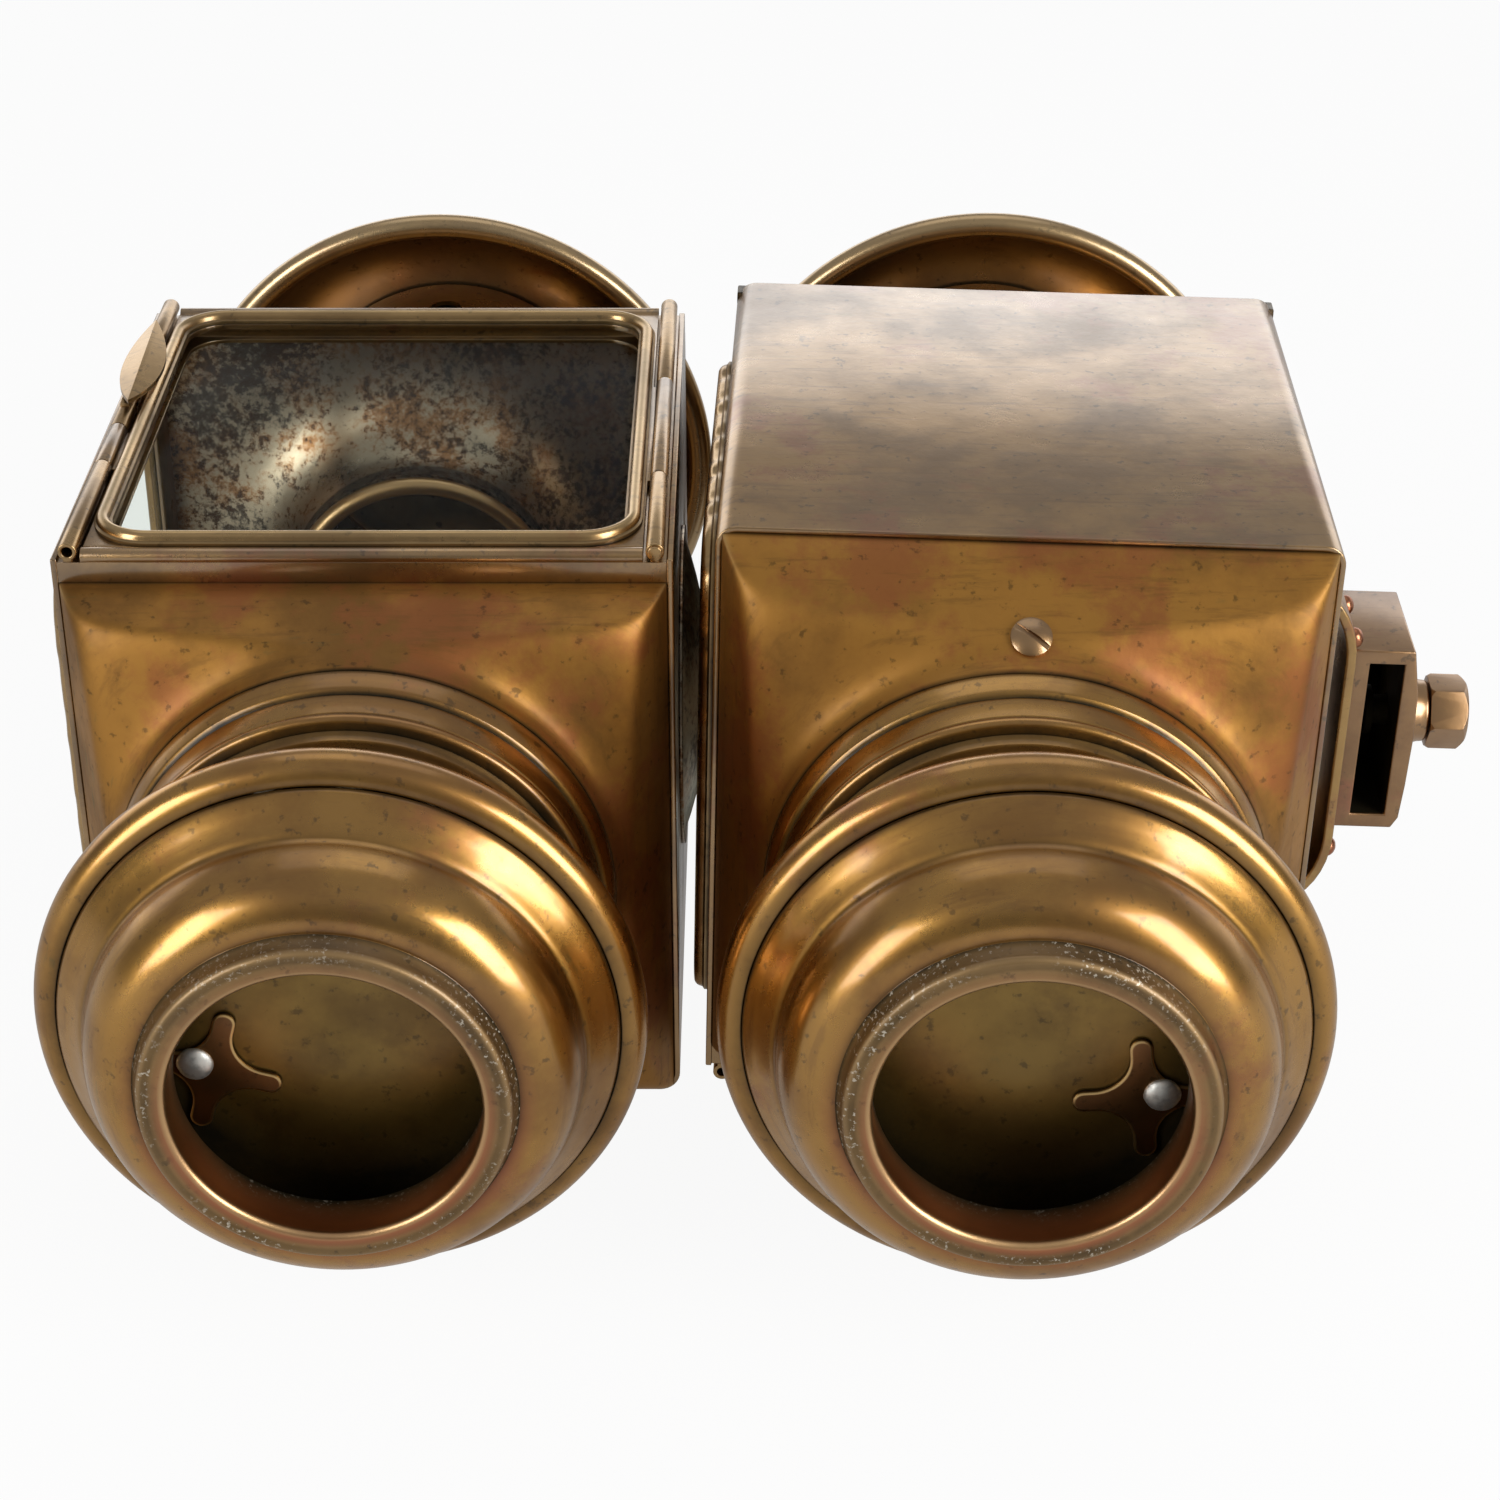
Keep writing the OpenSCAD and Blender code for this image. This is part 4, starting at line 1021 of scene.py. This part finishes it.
@dataclass(frozen=True)
class StarSpring:
    """The four-armed spring that the rivet holds to the well's plate.

    Its layers give, from the plate outwards, how far each lies in from the outline, its
    height over the plate, its wear and its grime.
    """

    lamp: Lamp
    plate_y: float = -67.75
    offset: float = 24.0
    tilt_deg: float = -54.5
    arm: float = 12.3
    arm_half: float = 2.05
    hollow_r: float = 6.4
    layers: tuple[tuple[float, float, float, float], ...] = (
        (0.1, 0.0, 0.0, 1.0), (0.0, 0.55, 0.2, 0.5), (0.08, 0.8, 1.0, 0.0), (0.35, 0.93, 1.0, 0.0),
        (0.6, 0.93, 0.0, 0.0))

    def outline(self) -> list[tuple[float, float, float, float]]:
        """Draw the star: round arm tips with a hollow between each pair.

        Returns:
            The points and outward directions on the plate.
        """
        half, hollow, corner = self.arm_half, self.hollow_r, self.arm_half + self.hollow_r
        quarter = []
        for i in range(13):
            a = math.radians(-90 + 180 * i / 12)
            c, n = math.cos(a), math.sin(a)
            quarter.append((self.arm - half + half * c, half * n, c, n))
        for i in range(17):
            a = math.radians(270 - 90 * i / 16)
            c, n = math.cos(a), math.sin(a)
            quarter.append((corner + hollow * c, corner + hollow * n, -c, -n))
        return [(u * c - v * n, u * n + v * c, p * c - q * n, p * n + q * c)
                for c, n in ((1, 0), (0, 1), (-1, 0), (0, -1)) for u, v, p, q in quarter]

    def build(self) -> None:
        """Make the spring."""
        tilt, turned = math.radians(self.tilt_deg), math.radians(self.lamp.spring_turn)
        sheet = Sheet()

        def put(u: float, v: float, height: float, wear_and_shine: float = 0.0, grime_and_shade: float = 0.0) -> int:
            """Add a vertex.

            Args:
                u: Its place along the first arm.
                v: Its place along the second arm.
                height: Its height over the plate.
                wear_and_shine: Its rubbing.
                grime_and_shade: Its dirt.

            Returns:
                Its number.
            """
            x = self.offset + u * math.cos(tilt) + v * math.sin(tilt)
            z = v * math.cos(tilt) - u * math.sin(tilt)
            return sheet.vertex(x * math.cos(turned) - z * math.sin(turned), self.plate_y - height,
                                x * math.sin(turned) + z * math.cos(turned), grime_and_shade, wear_and_shine)

        outline = self.outline()
        rows = [[put(u - p * inset, v - q * inset, height, wear_and_shine, grime_and_shade) for u, v, p, q in outline]
                for inset, height, wear_and_shine, grime_and_shade in self.layers]
        sheet.weave(rows)
        for row, layer in ((rows[0], self.layers[0]), (rows[-1], self.layers[-1])):
            middle = put(0, 0, layer[1])
            sheet.faces += [(row[i], row[(i + 1) % len(row)], middle) for i in range(len(row))]
        self.lamp.piece(sheet, "star_spring", "cut")


# ---------------------------------------------------------- chimney end pieces


@dataclass(frozen=True)
class ChimneyEnd:
    """The umbrella cap with its crown, the flue and the reflector.

    The walls are the directions and distances of the casing's inside, which cut the reflector.
    """

    lamp: Lamp
    cap_y: float = 166.9
    cap_r: float = 59.3
    cap_rise: float = 21.0
    roll_r: float = 2.7
    neck_r: float = 37.3
    crown_y: float = 186.9
    flue_r: float = 27.2
    cove_r: float = 22.0
    walls: tuple[tuple[Triple, float], ...] = (
        ((1, 0, 0), 55.8), ((-1, 0, 0), 55.8), ((0, 0, 1), 55.4), ((0, 0, -1), 60.8))

    def build(self) -> None:
        """Make every spun piece of the chimney end."""
        self.make_cap()
        self.make_crown()
        self.make_flue()
        self.make_reflector()

    def make_cap(self) -> None:
        """Make the umbrella cap with its rolled rim."""
        a = math.radians(-210)
        line = Contour(self.cap_r + self.roll_r * math.cos(a), self.cap_y + self.roll_r * math.sin(a), 0.5)
        line.arc((self.cap_r, self.cap_y), self.roll_r, -209, 85, 44, (0.5, -0.3), (0.0, 0.15))
        start = len(line.stations)
        for i in range(35):
            angle = 8 + 82 * i / 34
            a = math.radians(angle)
            line.to(self.neck_r + (self.cap_r - self.neck_r) * math.cos(a),
                    self.cap_y + self.cap_rise * math.sin(a), 0.4 if angle < 12 else 0.0)
        line.curve([(33, self.crown_y + 1.6, 0.5), (26.1, self.crown_y + 4.5, 0.3), (14, self.crown_y + 4.9),
                    (0, self.crown_y + 5)], 5)
        self.lamp.turned(line.back(-1.0, start, 0.45), "umbrella_cap")

    def make_crown(self) -> None:
        """Make the domed crown with a bead at its foot."""
        base, r = self.crown_y + 5, 0.6 * self.neck_r
        line = Contour(0, base).to(r, base, 1.0)
        line.arc((r - 0.9, base + 0.9), 0.9, -80, 80, 8, (0.5, 0.0), (0.0, 0.4))
        line.to(r - 1.2, base + 1.9, 0.8).arc((0, base + 1.9), r - 1.4, 4, 90, 24, flat=0.37)
        self.lamp.turned(line, "crown", 120)

    def make_flue(self) -> None:
        """Make the flue with its rolled mouth inside the reflector."""
        r, top = self.flue_r, 161.5
        line = Contour(r, top, 0.4).to(r, 120, 0.8).to(r, 97.5, 0.9)
        line.arc((r + 0.1, 95.4), 1.9, 150, 420, 30, (0.6, -0.2), (0.1, 0.7))
        line.to(r + 1, 97.6, 0.6).to(r + 1, top)
        self.lamp.turned(line, "flue", 128)

    def make_reflector(self) -> None:
        """Make the coved reflector and cut it to the casing's inside."""
        foot_r, foot_y = 29.1, 97.4
        line = Contour(foot_r, foot_y, 0.9)
        line.arc((foot_r + self.cove_r, foot_y), self.cove_r, 180, 90, 34, flat=0.7682)
        line.to(60, 114.3).to(68, 113.5).to(85.5, 112.5).back(0.8)
        for station in line.stations[:6]:
            station.grime_and_shade = 0.7
        node = f"{self.lamp.side}_reflector"
        obj = Sheet().lathe(line, 160).build(f"{node}_spun", Matrix.Identity(4), part_of(node).finish)
        shell = bmesh.new()
        shell.from_mesh(obj.data)
        for normal, reach in self.walls:
            way = Vector(normal)
            cut = bmesh.ops.bisect_plane(shell, geom=[*shell.verts, *shell.edges, *shell.faces], dist=1e-5,
                                         plane_co=way * reach, plane_no=way, clear_outer=True)
            edges = [e for e in cut["geom_cut"] if isinstance(e, bmesh.types.BMEdge)]
            bmesh.ops.edgeloop_fill(shell, edges=edges)
        bmesh.ops.transform(shell, matrix=self.lamp.place, verts=shell.verts)
        bmesh.ops.recalc_face_normals(shell, faces=shell.faces)
        shell.to_mesh(obj.data)
        shell.free()
        obj.data.set_sharp_from_angle(angle=math.radians(SHARP_DEG))
        stand_in(obj, node)


# ------------------------------------------------------------- casing's pieces


@dataclass(frozen=True)
class Shoulder:
    """A square to round shoulder, with creases that fade towards its round end.

    Attributes:
        lamp: Its lamp.
        part: The node's short name.
        span: The axial places of its square and its round end.
        half: Half its width at the square end.
        radius: Its radius at the round end.
        wall: Its thickness.
        rim: How far a straight rim reaches back from the square end.
        top: Its height over the axis at the square end.
        back: Its depth under the axis there.
        crease: The half width of a crease's rubbed line, which is also a painted highlight.
        fade: The share of its length along which the creases carry that line.
        sharp: The angle in degrees past which an edge stays sharp.
        around: Steps round it.
        along: Steps along it.
    """

    lamp: Lamp
    part: str
    span: Point
    half: float
    radius: float
    wall: float
    rim: float
    top: float = 52.3
    back: float = 60.8
    crease: float = 1.1
    fade: float = 0.45
    sharp: float = 50.0
    around: int = 440
    along: int = 44

    def build(self) -> None:
        """Make the shoulder from its two skins."""
        sheet = Sheet()
        outer, inner = self.skin(sheet, 0.0), self.skin(sheet, self.wall)
        sheet.weave(outer + inner[::-1], close_rows=True)
        self.lamp.piece(sheet, self.part, "beaten", self.sharp)

    def skin(self, sheet: Sheet, inset: float) -> list[list[int]]:
        """Add one side of the sheet: square sections that grow round.

        Args:
            sheet: The sheet.
            inset: How far this side lies in from the outer one.

        Returns:
            Its rows of vertices.
        """
        near, far = self.span
        tall, shift = (self.top + self.back) / 2, (self.top - self.back) / 2
        rows = []
        for k in range(-1, self.along + 1):
            s = max(k, 0) / self.along
            ease = 0.6 * s + 0.4 * s * s * (3 - 2 * s)
            a = (self.half - inset) * (1 - ease) + (self.radius - inset) * ease
            b = (tall - inset) * (1 - ease) + (self.radius - inset) * ease
            power = 400 * (1 - s) ** 5 + 2
            y = near + (far - near) * s if k >= 0 else near - math.copysign(self.rim, far - near)
            row = []
            for i in range(self.around):
                t = 2 * math.pi * (i + 0.5) / self.around
                t += 0.23 * math.sin(4 * t)
                c, n = math.cos(t), math.sin(t)
                most = max(abs(c / a), abs(n / b))
                r = (abs(c / a / most) ** power + abs(n / b / most) ** power) ** (-1 / power) / most
                off_crease = abs(abs(c) * b - abs(n) * a) / self.crease
                # Near the square end each crease gets wear along its ridge: partly rubbing, partly a painted
                # highlight line.
                corner = max(0.0, 1 - off_crease) * max(0.0, 1 - s / self.fade)
                seams = 0.9 * max(0.0, 1 - (1 - s) / 0.045) + 0.8 * max(0.0, 1 - s / 0.03)
                z = shift * (1 - ease) + r * n
                row.append(sheet.vertex(r * c, y, z, 0.4 if inset else seams, corner ** 2))
            rows.append(row)
        return rows


@dataclass(frozen=True)
class Bezels:
    """The raised beads round the door's glass and the side window."""

    lamp: Lamp
    corner_r: float = 8.0
    door_size: Point = (95.4, 104.4)
    door_band: Point = (3.4, 2.6)
    door_at: Point = (58.6, 58.0)
    window_size: Point = (94.0, 90.0)
    window_band: Point = (4.6, 3.0)
    window_at: Triple = (-57.0, 57, -2)

    def build(self) -> None:
        """Make both bezels."""
        self.make_door_bead()
        self.make_window_bead()

    @staticmethod
    def bead(band: float, height: float) -> list[tuple[float, float, float, float]]:
        """Draw a bead: a flange on each side of a half-round crown.

        Args:
            band: The width of the whole bead.
            height: Its height.

        Returns:
            Outward distance, height, grime and wear of each corner of its section.
        """
        edge, seam = 0.30 * height, 0.42 * height
        section = [(0.0, 0.0, 0.9, 0.0), (0.0, edge, 0.4, 0.1), (0.12 * band, seam, 0.5, 0.0)]
        for i in range(11):
            a = math.radians(172 - 164 * i / 10)
            section.append((0.5 * band + 0.37 * band * math.cos(a), height * (0.40 + 0.6 * math.sin(a)),
                            0.0, 0.05 + 0.4 * max(0.0, math.sin(a)) ** 6))
        return section + [(0.88 * band, seam, 0.6, 0.0), (band, edge, 0.2, 0.3), (band, 0.0, 1.0, 0.0)]

    def make_door_bead(self) -> None:
        """Make the bead on the door."""
        along, level = self.door_at
        loop = rounded_loop(*self.door_size, self.corner_r, lambda x, y: Vector((x, along + y, level)))
        sheet = Sheet().sweep(loop, Vector((0, 0, 1)), self.bead(*self.door_band))
        self.lamp.piece(sheet, "door_bezel", "bead")

    def make_window_bead(self) -> None:
        """Make the bead round the side window, with its hand-beaten outer edge."""
        side, along, level = self.window_at
        loop = rounded_loop(*self.window_size, self.corner_r,
                            lambda z, y: Vector((side, along + y, level + z)), side=60)
        sheet = Sheet().sweep(loop, Vector((-1, 0, 0)), self.bead(*self.window_band), self.beaten)
        self.lamp.piece(sheet, "window_bezel", "bead")

    @staticmethod
    def beaten(t: float) -> float:
        """Return the hammer's ripple at a place from 0 to 1 along a loop."""
        return 0.22 * math.sin(2 * math.pi * 38 * t) + 0.12 * math.sin(2 * math.pi * 61 * t)


# -------------------------------------------------------------- softened pieces


@dataclass(frozen=True)
class Softener:
    """Copies CAD pieces that the eye meets close by, rounds their edges and marks them as rubbed."""

    frame: dict[str, Any]
    sharp_from: float = 32.0
    sharp_after: float = 40.0
    flat_under: float = 0.6
    rubbed: float = 0.8

    def build(self) -> None:
        """Soften each piece by the width of its rounding in millimetres."""
        widths = {"casing": 0.3, "door_seat": 0.25, "frame_tubes": 0.22, "hinge_pin": 0.15,
                  "shoulder_screw": 0.15, "side_dish": 0.2, "door_frame": 0.2, "door_latch": 0.2,
                  "bracket_pad": 0.45, "bracket_socket": 0.5, "clamp_shoe": 0.2, "set_screw": 0.3}
        for side in SIDES:
            for part, width in widths.items():
                if f"{side}_{part}" in self.frame["nodes"]:
                    self.soften(f"{side}_{part}", width)

    def soften(self, node: str, width: float) -> None:
        """Make the softened stand-in of a node.

        Args:
            node: The node's name.
            width: The width of the rounding in millimetres.
        """
        shell = bmesh.new()
        shell.from_mesh(self.frame["nodes"][node].data)
        bmesh.ops.remove_doubles(shell, verts=shell.verts, dist=2e-6)
        bmesh.ops.dissolve_degenerate(shell, edges=shell.edges, dist=1e-6)
        bmesh.ops.dissolve_limit(shell, angle_limit=math.radians(self.flat_under), verts=shell.verts,
                                 edges=shell.edges)
        sharp = [e for e in shell.edges if len(e.link_faces) == 2 and
                 e.calc_face_angle(0.0) > math.radians(self.sharp_from)]
        made = bmesh.ops.bevel(shell, geom=sharp, offset=width * MM, offset_type="OFFSET", segments=2,
                               profile=0.6, affect="EDGES", clamp_overlap=True)
        wear_and_shine = shell.faces.layers.float.new("wear_and_shine")
        for face in made["faces"]:
            if face.is_valid:
                face[wear_and_shine] = self.rubbed
        bmesh.ops.triangulate(shell, faces=[f for f in shell.faces if len(f.verts) > 4])
        name = f"{node}_soft"
        mesh = bpy.data.meshes.new(name)
        shell.to_mesh(mesh)
        shell.free()
        stand_in(finished(name, mesh, part_of(node).finish, self.sharp_after), node)


# ---------------------------------------------------------------------- rivets


@dataclass(frozen=True)
class Rivets:
    """Hand-set rivet heads, instanced on the places where the frame has its rivets."""

    frame: dict[str, Any]

    def build(self) -> None:
        """Make the rivets of both springs and of the bracket."""
        for side in SIDES:
            self.set_heads(f"{side}_spring_rivet", 3.25, 1.35, 5)
        self.set_heads("right_bracket_rivets", 2.0, 1.7, 2)

    @staticmethod
    def places(node: bpy.types.Object) -> list[tuple[Vector, Vector]]:
        """Find the rivets of a node, each an island with one large flat foot.

        Args:
            node: The node's object.

        Returns:
            The foot and the direction of each rivet.
        """
        shell = bmesh.new()
        shell.from_mesh(node.data)
        bmesh.ops.remove_doubles(shell, verts=shell.verts, dist=2e-6)
        left = set(shell.verts)
        found = []
        while left:
            island, edge = set(), [left.pop()]
            while edge:
                vert = edge.pop()
                island.add(vert)
                near = {e.other_vert(vert) for e in vert.link_edges} & left
                left -= near
                edge.extend(near)
            faces = {f for v in island for f in v.link_faces}
            foot = max(faces, key=lambda f: f.calc_area())
            flat = [f for f in faces if f.normal.dot(foot.normal) > 0.999]
            area = sum(f.calc_area() for f in flat)
            middle = sum((f.calc_center_median() * f.calc_area() for f in flat), Vector()) / area
            found.append((middle, -foot.normal.normalized()))
        shell.free()
        return sorted(found, key=lambda place: tuple(round(c, 6) for c in place[0]))

    def set_heads(self, node: str, radius: float, height: float, seed: int) -> None:
        """Make one node's rivets.

        Args:
            node: The node's name.
            radius: A head's radius in millimetres.
            height: Its height.
            seed: The seed of the hammer marks.
        """
        places = self.places(self.frame["nodes"][node])
        mesh = bpy.data.meshes.new(f"{node}_points")
        mesh.from_pydata([p for p, _ in places], [], [])
        mesh.attributes.new("way", "FLOAT_VECTOR", "POINT").data.foreach_set(
            "vector", [c for _, way in places for c in way])
        obj = linked(f"{node}_set", mesh)
        modifier = obj.modifiers.new("rivets", "NODES")
        modifier.node_group = tree = RivetTree(f"{node}_tree", part_of(node).finish).build()
        values = {"Head Radius": radius * MM, "Head Height": height * MM, "Seed": seed}
        for item in tree.interface.items_tree:
            if item.item_type == "SOCKET" and item.name in values:
                modifier[item.identifier] = values[item.name]
        graph = bpy.context.evaluated_depsgraph_get()
        made = bpy.data.meshes.new_from_object(obj.evaluated_get(graph), depsgraph=graph)
        obj.modifiers.clear()
        obj.data = made
        made.name = f"{node}_heads"
        stand_in(obj, node)


@dataclass(frozen=True)
class RivetTree:
    """The node tree that sets a dented head on each point, along its way attribute."""

    name: str
    finish: Finish
    sunk: float = -0.25
    dent: float = 0.16

    def build(self) -> bpy.types.NodeTree:
        """Build the tree.

        Returns:
            The tree, with the inputs Head Radius, Head Height and Seed.
        """
        tree = bpy.data.node_groups.new(self.name, "GeometryNodeTree")
        for name, way, kind in (("Geometry", "INPUT", "Geometry"), ("Head Radius", "INPUT", "Float"),
                                ("Head Height", "INPUT", "Float"), ("Seed", "INPUT", "Int"),
                                ("Geometry", "OUTPUT", "Geometry")):
            tree.interface.new_socket(name, in_out=way, socket_type=f"NodeSocket{kind}")
        shade = Shade(tree)
        source = tree.nodes.new("NodeGroupInput")
        points, radius, height, seed = (Sock(shade, source.outputs[i]) for i in range(4))
        # A ball whose lower part is cut flat, with shallow hammer marks.
        ball = shade.node("GeometryNodeMeshUVSphere", {"Segments": 32, "Rings": 18, "Radius": 1.0})
        place = shade.node("GeometryNodeInputPosition")
        level = shade.axis(place, "Z").most(self.sunk)
        across = shade.node("ShaderNodeVectorMath", [place, (1.0, 1.0, 0.0)], operation="MULTIPLY")
        lifted = shade.node("ShaderNodeCombineXYZ", [0.0, 0.0, level])
        squared = shade.node("ShaderNodeVectorMath", [across, lifted], operation="ADD")
        head = shade.node("GeometryNodeSetPosition", {"Geometry": ball, "Position": squared})
        marks = shade.node("ShaderNodeTexNoise", {"Vector": place, "W": seed, "Scale": 1.7, "Detail": 2.0},
                           noise_dimensions="4D")
        depth = (marks - 0.5) * self.dent
        dent = shade.node("ShaderNodeVectorMath", {0: place, "Scale": depth}, operation="SCALE")
        head = shade.node("GeometryNodeSetPosition", {"Geometry": head, "Offset": dent})
        # Its size, and one on every point.
        size = shade.node("ShaderNodeCombineXYZ", [radius, radius, height])
        head = shade.node("GeometryNodeTransform", {"Geometry": head, "Scale": size})
        way = shade.node("GeometryNodeInputNamedAttribute", {"Name": "way"}, data_type="FLOAT_VECTOR")
        turned = shade.node("FunctionNodeAlignRotationToVector", {"Vector": way}, axis="Z")
        heads = shade.node("GeometryNodeInstanceOnPoints", {
            "Points": points, "Instance": head, "Rotation": turned})
        real = shade.node("GeometryNodeRealizeInstances", [heads])
        smooth = shade.node("GeometryNodeSetShadeSmooth", [real])
        dressed = shade.node("GeometryNodeSetMaterial", {
            "Geometry": smooth, "Material": self.finish.material()})
        shade.close(dressed, "NodeGroupOutput")
        return tree


# --------------------------------------------------------------------- studio


@dataclass(frozen=True)
class SoftBox:
    """A rectangular lamp of the studio: its place, its aim, its size in metres and its watts."""

    name: str
    at: Triple
    aim: Triple
    size: Point
    power: float

    def hang(self) -> None:
        """Hang the lamp, turned to its aim."""
        data = bpy.data.lights.new(self.name, "AREA")
        data.shape = "RECTANGLE"
        data.size, data.size_y = self.size
        data.energy = self.power
        obj = linked(self.name, data)
        obj.location = self.at
        obj.rotation_euler = (Vector(self.aim) - Vector(self.at)).to_track_quat("-Z", "Y").to_euler()


@dataclass(frozen=True)
class Studio:
    """The camera, the lamps, the pale floor and the surroundings."""

    lens_mm: float = 75.28
    sensor_mm: float = 36.0
    nearest: float = 0.01
    eye: Triple = (0.07106, -0.5747, 0.3738)
    pitch_deg: float = 29.81
    floor_half: float = 4.0
    floor_at: Triple = (0.06, 0, -0.0004)
    boxes: tuple[SoftBox, ...] = (
        SoftBox("key", (0.86, -0.66, 0.44), (0.08, -0.06, 0.06), (0.5, 0.66), 9.0),
        SoftBox("fill", (-0.76, -0.74, 0.40), (0.05, -0.06, 0.06), (0.42, 0.6), 4.6),
        SoftBox("top", (0.06, 0.35, 1.2), (0.06, 0.0, 0.1), (1.0, 0.7), 1.2))

    def build(self) -> None:
        """Make the whole studio."""
        self.place_camera()
        self.lay_floor()
        self.light_world()
        for box in self.boxes:
            box.hang()

    def place_camera(self) -> None:
        """Place the camera."""
        data = bpy.data.cameras.new("camera")
        data.lens = self.lens_mm
        data.sensor_width = self.sensor_mm
        data.clip_start = self.nearest
        camera = linked("camera", data)
        camera.location = self.eye
        camera.rotation_euler = (math.radians(90 - self.pitch_deg), 0, 0)
        bpy.context.scene.camera = camera

    def lay_floor(self) -> None:
        """Lay the pale floor."""
        far = self.floor_half
        mesh = bpy.data.meshes.new("floor")
        mesh.from_pydata([(-far, -far, 0), (far, -far, 0), (far, far, 0), (-far, far, 0)], [], [(0, 1, 2, 3)])
        mesh.materials.append(PaleFloor().material())
        obj = linked("floor", mesh)
        obj.location = self.floor_at

    def light_world(self) -> None:
        """Make surroundings that are white to the eye and softly graded for the metal."""
        world = bpy.data.worlds.new("studio")
        bpy.context.scene.world = world
        world.use_nodes = True
        shade = Shade(world.node_tree)
        direction = shade.node("ShaderNodeTexCoord", output="Generated")
        upward, away = shade.axis(direction, "Z"), shade.axis(direction, "Y")
        sweep = away.step(0.15, 0.75) * upward.step(0.48, 0.33)
        room = 0.20 + sweep * 1.5 + upward.step(0.25, 0.75) * 0.2
        seen = shade.seen()
        level = seen + (1 - seen) * room
        back = shade.node("ShaderNodeBackground", {"Color": WHITE, "Strength": level})
        shade.close(back, "ShaderNodeOutputWorld")


def main() -> None:
    """Dress the lamps and light them."""
    logging.basicConfig(level=logging.INFO, format="%(message)s")
    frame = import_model()
    dress_frame(frame)
    Softener(frame).build()
    Rivets(frame).build()
    for lamp in (Lamp.left(), Lamp.right()):
        FootEnd(lamp).build()
        StarSpring(lamp).build()
        ChimneyEnd(lamp).build()
        Shoulder(lamp, "lower_shoulder", (0.0, -22.4), 55.8, 46.2, 1.2, 2.5).build()
        Shoulder(lamp, "upper_shoulder", (121.0, 141.0), 57.0, 38.3, 1.0, 4.0).build()
        Bezels(lamp).build()
    Studio().build()
    bpy.context.scene.view_settings.view_transform = "Standard"


if __name__ == "__main__":
    main()
